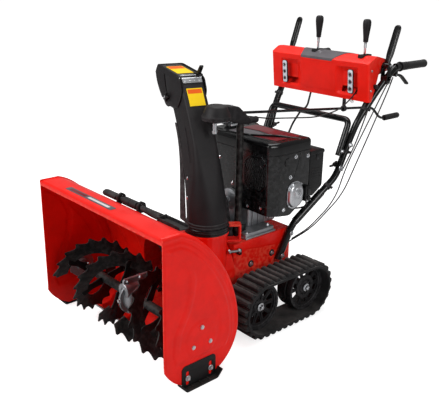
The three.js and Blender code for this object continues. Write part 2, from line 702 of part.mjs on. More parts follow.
function fuelTank() {
  const tank = plate("y", roundedBox(-192, ENGINE_RIGHT - 2, 540, 650, 20), 600, 830);
  return join(tank, rod("z", 24, 640, 655, -142, 715));
}

function fuelCap() {
  return rod("z", 29, 655.3, 676, -142, 715, 20);
}

function muffler() {
  return plate("x", roundedBox(704, 802, 420, 524, 26, 4), -172, -97);
}

function starterMotor() {
  const barrel = rod("x", 38, 98, 204, STARTER_Y, STARTER_Z);
  const line = roundedBox(STARTER_Y - 40, STARTER_Y + 40, STARTER_Z - 52, STARTER_Z + 50, 38, 6);
  const cap = plate("x", line, ENGINE_LEFT + GAP, 216);
  return join(barrel, cap, rod("x", 14, 214, 220, STARTER_Y + 4, STARTER_Z + 6, 16));
}

// ---- Handles and controls --------------------------------------------------------------------------

// The tube, with the ears that carry the clutch lever and the steering trigger.
function handleTube() {
  const tube = bar(
    [
      [154.5, 690, 188], [157, 760, 318], [186, 900, 436], [200, 942, 478], [206, 1000, 610],
      [215, 1030, 684], [236, 1110, 796], [GRIP_X, 1150, 842], [GRIP_X, 1196, 877], [GRIP_X, 1392, 877],
    ],
    TUBE_RADIUS, 7, 28,
  );
  const clamp = block([GRIP_X - 15, GRIP_X + 15], [CLUTCH_Y - 12, CLUTCH_Y + 12], [820, 850]);
  const earLine = roundedBox(CLUTCH_Y - 11, CLUTCH_Y + 11, 830, CLUTCH_Z + 10, 8);
  const ears = [-15, 12.3].map((side) => plate("x", earLine, GRIP_X + side, GRIP_X + side + 2.7));
  const smallLine = roundedBox(TRIGGER_Y - 8, TRIGGER_Y + 8, TRIGGER_Z - 8, 880, 5);
  const triggerEars = [-11, 8].map((side) => plate("x", smallLine, GRIP_X + side, GRIP_X + side + 3));
  return join(tube, clamp, ...ears, ...triggerEars);
}

function handleGrip() {
  const sleeve = rod("y", GRIP_RADIUS, GRIP_START, OVERALL_LENGTH, GRIP_X, 877);
  return cut(sleeve, rod("y", TUBE_RADIUS + 1.6, 1200, 1394, GRIP_X, 877, 16));
}

function handleBrace() {
  return bar([[-200, 948, 560], [-200, 1001, 690], [200, 1001, 690], [200, 948, 560]], 12, 7, 20);
}

// The paddle leans back from its pivot, and comes down over the grip. It widens above the ears.
function clutchLever() {
  const hub = rod("x", 8.5, GRIP_X - 12, GRIP_X + 12, CLUTCH_Y, CLUTCH_Z, 16);
  const root = roundedBox(GRIP_X - 12, GRIP_X + 12, -14, 60, 11.9, 4);
  const blade = roundedBox(GRIP_X - 15, GRIP_X + 15, 28, CLUTCH_LENGTH, 14.9, 4);
  const paddle = join(plate("y", root, -5, 5), plate("y", blade, -6, 6));
  const degrees = -THREE.MathUtils.radToDeg(CLUTCH_LEAN);
  return join(hub, paddle.rotate([degrees, 0, 0]).translate([0, CLUTCH_Y, CLUTCH_Z]));
}

function steeringTrigger() {
  const hub = rod("x", 6.5, GRIP_X - 7.6, GRIP_X + 7.6, TRIGGER_Y, TRIGGER_Z, 14);
  const path = [[GRIP_X, TRIGGER_Y, TRIGGER_Z], [GRIP_X, 1238, 844], [GRIP_X, 1286, 808]];
  return join(hub, bar(path, 5, 6, 8));
}

// The outline's mirror image for the other side, still anticlockwise.
function sided(line, side) {
  const signed = line.map(([x, y]) => [side * x, y]);
  return side > 0 ? signed : signed.reverse();
}

// A shell that is open below, with cheeks that draw in towards its back.
function consoleShell() {
  const side = [
    [1046, 756], [1062, 758], [1130, 852], [1196, 866], [1196, 902], [1092, 924], [1072, 924], [1030, 900],
  ];
  const room = [
    [1050.5, 740], [1075, 740], [1140, 846], [1192.5, 850],
    [1192.5, 898], [1091, 920.5], [1073, 920.5], [1034, 897],
  ];
  const shell = plate("x", side, -CONSOLE_HALF, CONSOLE_HALF);
  const hollow = plate("x", room, -CONSOLE_HALF + SHEET, CONSOLE_HALF - SHEET);
  const slots = [SPEED_LEVER_X, DEFLECTOR_LEVER_X].map((x) =>
    block([x - 7, x + 7], [LEVER_Y - 26, LEVER_Y + 26], [880, 940]),
  );
  const far = CONSOLE_HALF + 40;
  const beside = [
    [CONSOLE_HALF, 1070], [far, 1070], [far, 1220], [CONSOLE_BACK_HALF, 1220], [CONSOLE_BACK_HALF, 1130],
  ];
  const wall = [
    [CONSOLE_HALF - SHEET, 1070], [CONSOLE_HALF, 1070], [CONSOLE_BACK_HALF, 1130],
    [CONSOLE_BACK_HALF, 1195], [CONSOLE_BACK_HALF - SHEET, 1195], [CONSOLE_BACK_HALF - SHEET, 1129],
  ];
  const tapers = [1, -1].map((sign) => plate("z", sided(beside, sign), 700, 1000));
  const walls = [1, -1].map((sign) => plate("z", sided(wall, sign), 700, 1000).intersect(shell));
  return join(cut(shell, ...tapers, hollow, ...slots), ...walls);
}

// A strip of three lamps on the sloping front of the console.
function headlamp() {
  const geometry = new THREE.BoxGeometry(22, 7, 88).rotateX(THREE.MathUtils.degToRad(6.3));
  return solid(geometry.translate(168, 1030.4, 828));
}

function shiftLever(x) {
  const stem = rod("z", 4.5, LEVER_Z - 6, 985, x, LEVER_Y, 8);
  const knob = turned("z", [[0.01, 972], [9, 972], [15.5, 1034], [13, 1050], [0.01, 1056]], x, LEVER_Y, 14);
  return join(stem, knob, rod("x", 8, x - 6, x + 6, LEVER_Y, LEVER_Z, 14));
}

// ---- Assembly --------------------------------------------------------------------------------------

const machine = new THREE.Group();
const lengthwise = new THREE.Group();
lengthwise.position.y = -OVERALL_LENGTH / 2;
machine.add(lengthwise);

function add(name, body, material, parent = lengthwise) {
  const mesh = new THREE.Mesh(geometryOf(body), material);
  mesh.name = name;
  parent.add(mesh);
  return mesh;
}

// The left piece stands at +X, and the right one is its mirror image.
function addPair(name, body, material) {
  add(`left_${name}`, body, material);
  add(`right_${name}`, body, material).scale.x = -1;
}

add("auger_housing", augerHousing(), paint);
add("scraper_bar", scraperBar(), steel);
addPair("skid_shoe", skidShoe(), blackPaint);
addPair("auger_bearing", augerBearing(), cast);
add("auger_shaft", augerShaft(), steel);
addPair("auger", augerFlight(), blackPaint);
add("gearbox_case", gearboxCase(), cast);
add("worm_wheel", wormWheel(), steel);
add("clean_out_tool", cleanOutTool(), blackPlastic);
add("impeller_housing", impellerHousing(), paint);
add("impeller_shaft", impellerShaft(), steel);
add("impeller", impeller(), blackPaint);

const chute = new THREE.Group();
chute.position.set(OUTLET_X, OUTLET_Y, 0);
chute.rotation.z = CHUTE_HEADING;
lengthwise.add(chute);
add("chute_ring", chuteRing(), blackPlastic);
add("chute_body", chuteBody(), blackPlastic, chute);
add("chute_deflector", chuteDeflector(), blackPlastic, chute);
add("chute_drive_cover", chuteDriveCover(), blackPlastic);
add("chute_column", chuteColumn(), blackPaint);
add("crank_rod", crankRod(), blackPaint);
add("crank_grip", crankGrip(), grip);

add("impeller_pulley", impellerPulley(), cast);
add("crankshaft_pulley", crankshaftPulley(), cast);
add("drive_belt", driveBelt(), rubber);
add("belt_cover", beltCover(), blackPlastic);

add("frame", frameTub(), paint);
addPair("track_beam", trackBeam(), blackPaint);
addPair("drive_axle", driveAxle(), steel);
addPair("drive_wheel", trackWheel(TRACK_BACK_Y), blackPlastic);
addPair("idler_wheel", trackWheel(TRACK_FRONT_Y), blackPlastic);
addPair("track", trackBelt(), rubber);

add("engine_block", engineBlock(), cast);
add("engine_shroud", engineShroud(), blackPlastic);
add("rear_cover", rearCover(), blackPlastic);
add("recoil_housing", recoilHousing(), blackPaint);
add("recoil_handle", recoilHandle(), grip);
add("fuel_tank", fuelTank(), blackPaint);
add("fuel_cap", fuelCap(), blackPlastic);
add("muffler", muffler(), steel);
add("starter_motor", starterMotor(), steel);

addPair("handle_tube", handleTube(), blackPaint);
addPair("grip", handleGrip(), grip);
add("handle_brace", handleBrace(), blackPaint);
addPair("clutch_lever", clutchLever(), blackPlastic);
addPair("steering_trigger", steeringTrigger(), blackPaint);
add("console", consoleShell(), redPlastic);
addPair("headlamp", headlamp(), lens);
add("speed_lever", shiftLever(SPEED_LEVER_X), steel);
add("deflector_lever", shiftLever(DEFLECTOR_LEVER_X), steel);

export default machine;
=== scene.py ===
import math

import bmesh
import bpy
import numpy as np
from mathutils import Matrix, Vector


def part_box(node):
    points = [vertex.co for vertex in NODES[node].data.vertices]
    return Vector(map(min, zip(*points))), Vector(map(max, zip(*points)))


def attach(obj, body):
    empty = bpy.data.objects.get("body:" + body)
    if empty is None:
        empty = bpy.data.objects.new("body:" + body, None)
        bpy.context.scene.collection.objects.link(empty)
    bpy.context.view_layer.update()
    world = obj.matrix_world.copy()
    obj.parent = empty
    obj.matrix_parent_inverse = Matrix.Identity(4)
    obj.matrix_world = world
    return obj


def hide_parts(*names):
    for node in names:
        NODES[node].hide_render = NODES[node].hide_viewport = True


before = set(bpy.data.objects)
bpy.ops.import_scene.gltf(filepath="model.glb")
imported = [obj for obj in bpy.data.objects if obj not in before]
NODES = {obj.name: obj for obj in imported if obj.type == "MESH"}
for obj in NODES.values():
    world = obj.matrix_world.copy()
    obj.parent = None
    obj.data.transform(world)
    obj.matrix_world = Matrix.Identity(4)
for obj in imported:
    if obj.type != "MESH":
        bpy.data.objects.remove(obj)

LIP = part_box("auger_housing")[0].y
MM = 0.001


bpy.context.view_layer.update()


def box_mm(node):
    """Lowest and highest corner of a CAD node, in millimetres from the lip."""
    low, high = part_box(node)
    shift = Vector((0, LIP, 0))
    return (low - shift) / MM, (high - shift) / MM


def middle(node):
    low, high = box_mm(node)
    return (low + high) / 2


# ---- Outlines ---------------------------------------------------------------------------------------

def arc(a, b, radius, start, end, steps):
    angles = [math.radians(start + (end - start) * i / steps) for i in range(steps + 1)]
    return [(a + radius * math.cos(t), b + radius * math.sin(t)) for t in angles]


def circle(a, b, radius, steps=40):
    return arc(a, b, radius, 0, 360 - 360 / steps, steps - 1)


def rounded(a0, a1, b0, b1, radius, steps=5):
    return (
        arc(a1 - radius, b0 + radius, radius, -90, 0, steps)
        + arc(a1 - radius, b1 - radius, radius, 0, 90, steps)
        + arc(a0 + radius, b1 - radius, radius, 90, 180, steps)
        + arc(a0 + radius, b0 + radius, radius, 180, 270, steps)
    )


def softened(points, reach, steps=6, closed=True):
    """The same line with its corners rounded, each over that reach."""
    points = [Vector(p) for p in points]
    line = []
    for i, corner in enumerate(points):
        if not closed and i in (0, len(points) - 1):
            line.append(corner)
            continue
        back = points[i - 1] - corner
        ahead = points[(i + 1) % len(points)] - corner
        near = min(reach, back.length * 0.49, ahead.length * 0.49)
        start = corner + back.normalized() * near
        end = corner + ahead.normalized() * near
        for k in range(steps + 1):
            t = k / steps
            line.append(start * (1 - t) ** 2 + corner * (2 * t * (1 - t)) + end * t * t)
    return line


def inset(outline, distance):
    """An anticlockwise outline moved inwards."""
    points = [Vector(p[:2]) for p in outline]
    moved = []
    for i, p in enumerate(points):
        into = (p - points[i - 1]).normalized()
        out = (points[(i + 1) % len(points)] - p).normalized()
        normal = Vector((-into.y - out.y, into.x + out.x)).normalized()
        stretch = distance / max(0.4, -normal.x * into.y + normal.y * into.x)
        moved.append(p + normal * stretch)
    return moved


# ---- Meshes: each is a list of corners and a list of faces -----------------------------------------

def merged(*meshes):
    corners, faces = [], []
    for points, polygons in meshes:
        start = len(corners)
        corners += [tuple(p) for p in points]
        faces += [tuple(i + start for i in face) for face in polygons]
    return corners, faces


def moved(mesh, matrix):
    return [tuple(matrix @ Vector(p)) for p in mesh[0]], mesh[1]


def at(x=0.0, y=0.0, z=0.0):
    return Matrix.Translation((x, y, z))


def turn(axis, degrees):
    return Matrix.Rotation(math.radians(degrees), 4, axis)


AXES = {
    "x": ((0, 0, 1), (1, 0, 0), (0, 1, 0)),
    "y": ((1, 0, 0), (0, 0, -1), (0, 1, 0)),
    "z": ((1, 0, 0), (0, 1, 0), (0, 0, 1)),
    "-x": ((0, 0, -1), (-1, 0, 0), (0, 1, 0)),
    "back": ((-1, 0, 0), (0, 0, 1), (0, 1, 0)),
    "-z": ((1, 0, 0), (0, -1, 0), (0, 0, -1)),
}


def stood(mesh, axis, x=0.0, y=0.0, z=0.0):
    """A mesh whose own depth is turned onto an axis, then placed."""
    return moved(mesh, at(x, y, z) @ Matrix(AXES[axis]).to_4x4())


def mirrored(mesh):
    return [(-x, y, z) for x, y, z in mesh[0]], [tuple(reversed(face)) for face in mesh[1]]


def pair(mesh):
    """A mesh together with its mirror image."""
    return merged(mesh, mirrored(mesh))


def from_bmesh(bm):
    bm.verts.index_update()
    corners = [tuple(v.co) for v in bm.verts]
    faces = [tuple(v.index for v in f.verts) for f in bm.faces]
    bm.free()
    return corners, faces


def to_bmesh(mesh, weld=0.01):
    data = bpy.data.meshes.new("work")
    data.from_pydata([tuple(p) for p in mesh[0]], [], mesh[1])
    bm = bmesh.new()
    bm.from_mesh(data)
    bpy.data.meshes.remove(data)
    bmesh.ops.remove_doubles(bm, verts=bm.verts, dist=weld)
    bmesh.ops.recalc_face_normals(bm, faces=bm.faces)
    return bm


def slab(outline, low, high, bevel=0.8, holes=(), resolution=2):
    """A flat outline with holes, given depth and softened edges."""
    curve = bpy.data.curves.new("work", "CURVE")
    curve.dimensions = "2D"
    curve.fill_mode = "BOTH"
    curve.extrude = (high - low) / 2 - bevel
    curve.bevel_depth = bevel
    curve.bevel_resolution = resolution
    curve.offset = -bevel
    for i, ring in enumerate((outline, *holes)):
        area = sum(a[0] * b[1] - b[0] * a[1] for a, b in zip(ring, [*ring[1:], ring[0]]))
        if (area > 0) == (i > 0):
            ring = list(reversed(ring))
        spline = curve.splines.new("POLY")
        spline.points.add(len(ring) - 1)
        for point, p in zip(spline.points, ring):
            point.co = (p[0], p[1], 0, 1)
        spline.use_cyclic_u = True
    thing = bpy.data.objects.new("work", curve)
    data = thing.to_mesh()
    depth = (low + high) / 2
    corners = [(v.co.x, v.co.y, v.co.z + depth) for v in data.vertices]
    faces = [tuple(f.vertices) for f in data.polygons]
    thing.to_mesh_clear()
    bpy.data.objects.remove(thing)
    bpy.data.curves.remove(curve)
    return from_bmesh(to_bmesh((corners, faces)))


def plate(axis, outline, low, high, bevel=0.8, holes=(), resolution=2):
    """A slab with its depth along an axis, from low to high. The outline is in the two other coordinates."""
    if axis == "y":
        return stood(slab(outline, -high, -low, bevel, holes, resolution), "y")
    return stood(slab(outline, low, high, bevel, holes, resolution), axis)


def brick(x, y, z, bevel=1.0, segments=2):
    bm = bmesh.new()
    bmesh.ops.create_cube(bm, size=1)
    size = Vector((x[1] - x[0], y[1] - y[0], z[1] - z[0]))
    centre = Vector((x[0] + x[1], y[0] + y[1], z[0] + z[1])) / 2
    for v in bm.verts:
        v.co = Vector(c * s for c, s in zip(v.co, size)) + centre
    bmesh.ops.bevel(bm, geom=bm.edges, offset=bevel, segments=segments, profile=0.5, affect="EDGES")
    return from_bmesh(bm)


def lathe(profile, segments=48, closed=False, wobble=None):
    """Pairs of radius and height turned about Z. Closed, it makes a ring. wobble adds to the radii."""
    count = len(profile)
    corners = []
    for k in range(segments):
        angle = 2 * math.pi * k / segments
        for i, (radius, height) in enumerate(profile):
            r = radius + (wobble(angle, i) if wobble else 0)
            corners.append((r * math.cos(angle), r * math.sin(angle), height))
    faces = []
    for k in range(segments):
        here, there = k * count, (k + 1) % segments * count
        for i in range(count if closed else count - 1):
            j = (i + 1) % count
            faces.append((here + i, there + i, there + j, here + j))
    return from_bmesh(to_bmesh((corners, faces)))


def loft(rings):
    """A closed skin through rings that have the same number of points."""
    count = len(rings[0])
    corners = [tuple(p) for ring in rings for p in ring]
    faces = []
    for level in range(len(rings) - 1):
        low, high = level * count, (level + 1) * count
        for i in range(count):
            j = (i + 1) % count
            faces.append((low + i, low + j, high + j, high + i))
    faces.append(tuple(reversed(range(count))))
    faces.append(tuple(range(len(corners) - count, len(corners))))
    return corners, faces


def tube(points, radius, sides=14, bend=0.0, section=None, steps=6):
    """A bar along a path. Its radius is a number, or one for each end. It is round if no section is given."""
    path = [Vector(p) for p in (softened(points, bend, steps, closed=False) if bend else points)]
    path = [p for i, p in enumerate(path) if i == 0 or (p - path[i - 1]).length > 1e-4]
    outline = section or [(math.cos(t), math.sin(t)) for t in np.arange(sides) * 2 * math.pi / sides]
    tangents = [(path[min(i + 1, len(path) - 1)] - path[max(i - 1, 0)]).normalized()
                for i in range(len(path))]
    side = tangents[0].orthogonal().normalized()
    if section:
        side = tangents[0].cross(Vector((0, 0, 1))).normalized()
    rings = []
    for i, (p, along) in enumerate(zip(path, tangents)):
        side = (side - along * side.dot(along)).normalized()
        up = along.cross(side)
        size = radius if not isinstance(radius,
                                        tuple) else radius[0] + (radius[1] - radius[0]) * i / (len(path) - 1)
        rings.append([p + (side * a + up * b) * size for a, b in outline])
    return loft(rings)


def coil(start, end, radius, turns, wire=0.9, steps=12):
    """A tension spring between two points."""
    start, end = Vector(start), Vector(end)
    along = (end - start).normalized()
    side = along.orthogonal().normalized()
    up = along.cross(side)
    path = [start]
    total = int(turns * steps)
    for k in range(total + 1):
        angle = 2 * math.pi * k / steps
        place = start.lerp(end, 0.08 + 0.84 * k / total)
        path.append(place + (side * math.cos(angle) + up * math.sin(angle)) * radius)
    return tube([*path, end], wire, 6)


def carved(mesh, *cutters, operation="DIFFERENCE"):
    """The mesh less its cutters, or joined to them."""
    things = []
    for part in (mesh, *cutters):
        bm = to_bmesh(part)
        data = bpy.data.meshes.new("work")
        bm.to_mesh(data)
        bm.free()
        things.append(bpy.data.objects.new("work", data))
        bpy.context.scene.collection.objects.link(things[-1])
    for cutter in things[1:]:
        modifier = things[0].modifiers.new("cut", "BOOLEAN")
        modifier.operation = operation
        modifier.solver = "EXACT"
        modifier.object = cutter
    bpy.context.view_layer.update()
    data = things[0].evaluated_get(bpy.context.evaluated_depsgraph_get()).data
    result = [tuple(v.co) for v in data.vertices], [tuple(f.vertices) for f in data.polygons]
    for thing in things:
        data = thing.data
        bpy.data.objects.remove(thing)
        bpy.data.meshes.remove(data)
    return result


def thick(corners, faces, thickness):
    """An open sheet given thickness on the side its corners' normals point away from."""
    bm = to_bmesh((corners, faces))
    bmesh.ops.solidify(bm, geom=bm.faces, thickness=thickness)
    return from_bmesh(bm)


def grid(rows):
    """Corners and faces of a sheet from rows of points."""
    wide = len(rows[0])
    faces = [
        (r * wide + c, r * wide + c + 1, (r + 1) * wide + c + 1, (r + 1) * wide + c)
        for r in range(len(rows) - 1)
        for c in range(wide - 1)
    ]
    return [tuple(p) for row in rows for p in row], faces


# ---- Fasteners, all standing on Z -------------------------------------------------------------------

def washer(radius, thickness=1.6):
    return lathe([(radius * 0.4, 0), (radius, 0), (radius, thickness * 0.7), (radius * 0.93, thickness),
                  (radius * 0.4, thickness)], 28, closed=True)


def hex_bolt(radius=6.0, height=4.5, flange=1.35, end=True):
    """Hexagon head on a washer, with the softened top of a real one."""
    head = [circle(0, 0, radius * s, 6) for s in (1, 1, 0.9)]
    levels = [1.2, height * 0.8, height]
    prism = loft([[(a, b, z) for a, b in ring] for ring, z in zip(head, levels)])
    parts = [prism, washer(radius * flange)]
    if end:
        parts.append(moved(lathe([(0, 0), (radius * 0.5, 0), (radius * 0.5, 2.0), (radius * 0.4, 2.8),
                                  (0, 2.8)], 16), at(0, 0, height - 0.4)))
    return merged(*parts)


def pan_screw(radius=4.5):
    """Round head with a cross recess."""
    dome = lathe([(0, 0.2), (radius, 0.2), (radius * 0.96, 1.4), (radius * 0.7, 2.4), (0, 2.9)], 20)
    long, short = (-radius * 0.6, radius * 0.6), (-0.7, 0.7)
    return carved(dome, brick(long, short, (1.6, 4), 0.05, 1), brick(short, long, (1.6, 4), 0.05, 1))


def spun(profile, segments, axis, x=0.0, y=0.0, z=0.0, closed=False):
    """A lathed shape standing on an axis at a place."""
    return stood(lathe(profile, segments, closed), axis, x, y, z)


def disc(radius, low, high):
    """The profile of a solid cylinder, for lathe()."""
    return [(0, low), (radius, low), (radius, high), (0, high)]


def annulus(inner, outer, low, high):
    """The closed profile of a sleeve, for lathe()."""
    return [(inner, low), (outer, low), (outer, high), (inner, high)]


def placed(mesh, axis, spots):
    """Copies of one mesh standing on an axis, at several places."""
    return merged(*[stood(mesh, axis, *spot) for spot in spots])


# ---- Materials --------------------------------------------------------------------------------------

for imported in list(bpy.data.materials):
    bpy.data.materials.remove(imported)


def node(tree, kind, settings=None, **inputs):
    """A shader node. Its inputs are given by name, or as i0, i1 and so on by number, as values or sockets."""
    made = tree.nodes.new(kind)
    for key, value in (settings or {}).items():
        setattr(made, key, value)
    for key, value in inputs.items():
        socket = made.inputs[int(key[1:]) if key[1:].isdigit() else key]
        if isinstance(value, bpy.types.NodeSocket):
            tree.links.new(value, socket)
        else:
            socket.default_value = value
    return made


def noise(tree, coords, scale, detail=3.0, rough=0.5):
    return node(tree, "ShaderNodeTexNoise", Vector=coords, Scale=scale, Detail=detail,
                Roughness=rough).outputs["Fac"]


def span(tree, value, low, high, to_low=0.0, to_high=1.0):
    return node(tree, "ShaderNodeMapRange", i0=value, i1=low, i2=high, i3=to_low, i4=to_high).outputs[0]


def blend(tree, share, a, b, mode="MIX"):
    return node(tree, "ShaderNodeMixRGB", {"blend_type": mode}, Fac=share, Color1=a, Color2=b).outputs[0]


def linear(rgb):
    """The linear colour of a screen colour in 255 steps."""
    shares = [value / 255 for value in rgb]
    return tuple(c / 12.92 if c <= 0.04045 else ((c + 0.055) / 1.055) ** 2.4 for c in shares) + (1,)


def surface(name, rgb, rough, metal=0.0, coat=0.0, tone=0.12, blotch=14.0, grain=900.0, bump=0.08,
            depth=0.0002, worn=None, wear=0.35, dust=0.0, orange_peel=0.0, ribs=None, sheen=0.0,
            shine=0.24):
    """A finish with patchy tone, a fine grain, edges rubbed to another colour and dust that settles on it."""
    made = bpy.data.materials.new(name)
    made.use_nodes = True
    tree = made.node_tree
    shader = tree.nodes["Principled BSDF"]
    coords = node(tree, "ShaderNodeTexCoord").outputs["Object"]
    patches = noise(tree, coords, blotch, 4.0, 0.6)
    fine = noise(tree, coords, grain, 2.0)
    base = linear(rgb)
    dark = tuple(c * (1 - tone) for c in base[:3]) + (1,)
    light = tuple(min(1, c * (1 + tone)) for c in base[:3]) + (1,)
    colour = blend(tree, span(tree, patches, 0.35, 0.65), dark, light)
    if dust:
        normal = node(tree, "ShaderNodeNewGeometry").outputs["Normal"]
        up = node(tree, "ShaderNodeSeparateXYZ", Vector=normal).outputs[2]
        settled = node(tree, "ShaderNodeMath", {"operation": "MULTIPLY"},
                       i0=span(tree, up, 0.2, 1.0, 0, dust), i1=span(tree, patches, 0.3, 0.7)).outputs[0]
        colour = blend(tree, settled, colour, linear((176, 170, 164)))
    if worn:
        edge = node(tree, "ShaderNodeNewGeometry").outputs["Pointiness"]
        rubbed = node(tree, "ShaderNodeMath", {"operation": "MULTIPLY"},
                      i0=span(tree, edge, 0.52, 0.6, 0, wear),
                      i1=span(tree, noise(tree, coords, 70.0, 3.0), 0.42, 0.6)).outputs[0]
        colour = blend(tree, rubbed, colour, linear(worn))
    height = fine
    if orange_peel:
        height = blend(tree, orange_peel, fine, noise(tree, coords, 260.0, 1.0))
    if ribs:
        direction, pitch, share = ribs
        wave = node(tree, "ShaderNodeTexWave", {"bands_direction": direction, "wave_profile": "SIN"},
                    Vector=coords, Scale=1 / pitch * math.pi / 10 / MM, Distortion=0.0).outputs["Fac"]
        height = blend(tree, share, fine, wave)
    relief = node(tree, "ShaderNodeBump", Strength=bump, Distance=depth, Height=height).outputs[0]
    for key, value in {"Base Color": colour, "Roughness": span(tree, blend(tree, 0.5, patches, fine), 0.3,
                                                               0.7, max(0.02, rough - 0.07),
                                                               min(1, rough + 0.07)),
                       "Normal": relief}.items():
        tree.links.new(value, shader.inputs[key])
    shader.inputs["Metallic"].default_value = metal
    shader.inputs["Coat Weight"].default_value = coat
    shader.inputs["Coat Roughness"].default_value = 0.08
    shader.inputs["Specular IOR Level"].default_value = shine
    shader.inputs["Sheen Weight"].default_value = sheen
    return made


RED_RIM = (255, 120, 90)
red_paint = surface("red_paint", (236, 20, 8), 0.36, coat=0.06, shine=0.2, tone=0.07, grain=700, bump=0.05,
                    orange_peel=0.6, worn=RED_RIM, wear=0.3, dust=0.05)
red_plastic = surface("red_plastic", (242, 28, 14), 0.4, coat=0.03, shine=0.2, tone=0.06, grain=1500,
                      bump=0.14, worn=RED_RIM, wear=0.25, dust=0.04)
black_paint = surface("black_paint", (14, 14, 15), 0.42, tone=0.25, grain=800, bump=0.12, worn=(90, 88, 86),
                      dust=0.08)
gloss_black = surface("gloss_black", (8, 8, 9), 0.2, coat=0.16, shine=0.3, tone=0.2, grain=600, bump=0.04,
                      orange_peel=0.5, worn=(70, 70, 72), wear=0.3)
black_plastic = surface("black_plastic", (24, 22, 24), 0.55, tone=0.18, grain=1100, bump=0.45, depth=0.0004,
                        worn=(84, 82, 84), dust=0.06)
shiny_plastic = surface("shiny_plastic", (14, 14, 15), 0.3, coat=0.12, tone=0.2, grain=900, bump=0.1,
                        worn=(80, 80, 82), wear=0.3)
grip_rubber = surface("grip_rubber", (16, 16, 17), 0.8, tone=0.2, grain=700, bump=0.5, depth=0.0005,
                      sheen=0.2, ribs=("Y", 4.2, 0.8))
rubber = surface("track_rubber", (20, 19, 21), 0.72, tone=0.25, grain=500, bump=0.5, depth=0.0006,
                 worn=(70, 68, 68), dust=0.16, sheen=0.1)
steel = surface("steel", (196, 198, 202), 0.3, metal=1, tone=0.1, grain=1400, bump=0.12,
                worn=(235, 235, 235), dust=0.03)
cast_metal = surface("cast_metal", (158, 160, 164), 0.46, metal=0.8, tone=0.18, grain=600, bump=0.6,
                     depth=0.0005, worn=(190, 190, 190))
dark_cast = surface("dark_cast", (58, 58, 62), 0.42, metal=0.6, tone=0.2, grain=500, bump=0.6, depth=0.0005,
                    worn=(150, 150, 152))
chrome = surface("chrome", (226, 228, 232), 0.09, metal=1, tone=0.04, grain=900, bump=0.03)
lens = surface("lamp_lens", (214, 222, 232), 0.14, coat=0.6, tone=0.05, grain=400, bump=0.1)
yellow_label = surface("yellow_label", (246, 206, 20), 0.4, tone=0.04, grain=1200, bump=0.04)
orange_label = surface("orange_label", (232, 96, 20), 0.4, tone=0.04, grain=1200, bump=0.04)
grey_label = surface("grey_label", (92, 88, 92), 0.36, coat=0.2, tone=0.1, grain=1200, bump=0.04)
pale_label = surface("pale_label", (206, 204, 204), 0.36, coat=0.2, tone=0.05, grain=1200, bump=0.04)
wine_label = surface("wine_label", (112, 26, 34), 0.34, coat=0.2, tone=0.1, grain=1200, bump=0.04)


def shade(bm, angle):
    """Smooth shading with creases where faces meet at more than an angle."""
    for face in bm.faces:
        face.smooth = True
    for edge in bm.edges:
        edge.smooth = len(edge.link_faces) == 2 and edge.calc_face_angle(0) < math.radians(angle)


def piece(name, meshes, material, body="chassis", stands_for=(), angle=32):
    """One visible piece that rides on a CAD body. meshes is a mesh, or a list of meshes and materials."""
    parts = meshes if isinstance(meshes, list) else [(meshes, material)]
    data = bpy.data.meshes.new(name)
    whole = bmesh.new()
    materials = []
    for mesh, look in parts:
        if look not in materials:
            materials.append(look)
            data.materials.append(look)
        bm = to_bmesh(mesh)
        for face in bm.faces:
            face.material_index = materials.index(look)
        for v in bm.verts:
            v.co = Vector((v.co.x * MM, v.co.y * MM + LIP, v.co.z * MM))
        shade(bm, angle)
        part = bpy.data.meshes.new("work")
        bm.to_mesh(part)
        bm.free()
        whole.from_mesh(part)
        bpy.data.meshes.remove(part)
    whole.to_mesh(data)
    whole.free()
    thing = bpy.data.objects.new(name, data)
    bpy.context.scene.collection.objects.link(thing)
    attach(thing, body)
    if stands_for:
        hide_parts(*stands_for)


def both(name, meshes, material, body="chassis", stands_for=(), angle=32):
    """A left piece and its mirror image. A star in the name of a body or a node is where its side goes."""
    parts = meshes if isinstance(meshes, list) else [(meshes, material)]
    for side in ("left", "right"):
        turned = [(mesh if side == "left" else mirrored(mesh), look) for mesh, look in parts]
        nodes = [node_name.replace("*", side) for node_name in stands_for]
        piece(f"{side}_{name}", turned, material, body.replace("*", side), nodes, angle)


def carry(name, material, angle=32, bevel=0.6):
    """Keeps a CAD node whose shape is right, with softened edges and a finish."""
    thing = NODES[name]
    thing.data.materials.clear()
    thing.data.materials.append(material)
    sharp = math.cos(math.radians(angle))
    bm = bmesh.new()
    bm.from_mesh(thing.data)
    flat = {
        tuple(sorted((e.verts[0].index, e.verts[1].index)))
        for e in bm.edges
        if len(e.link_faces) != 2 or e.link_faces[0].normal.dot(e.link_faces[1].normal) < sharp
    }
    bm.free()
    thing.data.shade_smooth()
    for edge in thing.data.edges:
        edge.use_edge_sharp = tuple(sorted(edge.vertices)) in flat
    if bevel:
        modifier = thing.modifiers.new("soft_edges", "BEVEL")
        modifier.width = bevel * MM
        modifier.segments = 2
        modifier.limit_method = "ANGLE"
        modifier.angle_limit = math.radians(angle)
        modifier.use_clamp_overlap = True
        modifier.harden_normals = True


# ---- First stage: housing, augers and gearbox -------------------------------------------------------

HALF = 355.5
TOP = 515.0
AXIS = middle("auger_shaft")
AUGER_Y, AUGER_Z = AXIS.y, AXIS.z
BELLY = 157.0
BELLY_LOW = 10.0
ROLL = 9.0
IMPELLER_Z = middle("impeller_shaft").z
ROOF_BACK = 66.0


def bezier(points, steps):
    a, b, c, d = (Vector(p) for p in points)
    return [a * (1 - t) ** 3 + b * 3 * t * (1 - t) ** 2 + c * 3 * t * t * (1 - t) + d * t**3
            for t in (i / steps for i in range(steps + 1))]


def rear_curve(steps=40):
    return bezier(((AUGER_Y + BELLY, AUGER_Z), (298, 330), (150, 495), (ROOF_BACK, TOP)), steps)


def belly(start, end, steps):
    return [Vector(p) for p in arc(AUGER_Y, AUGER_Z, BELLY, start, end, steps)]


REAR_LINE = belly(-67, 0, 24)[:-1] + rear_curve() + [Vector((0, TOP))]


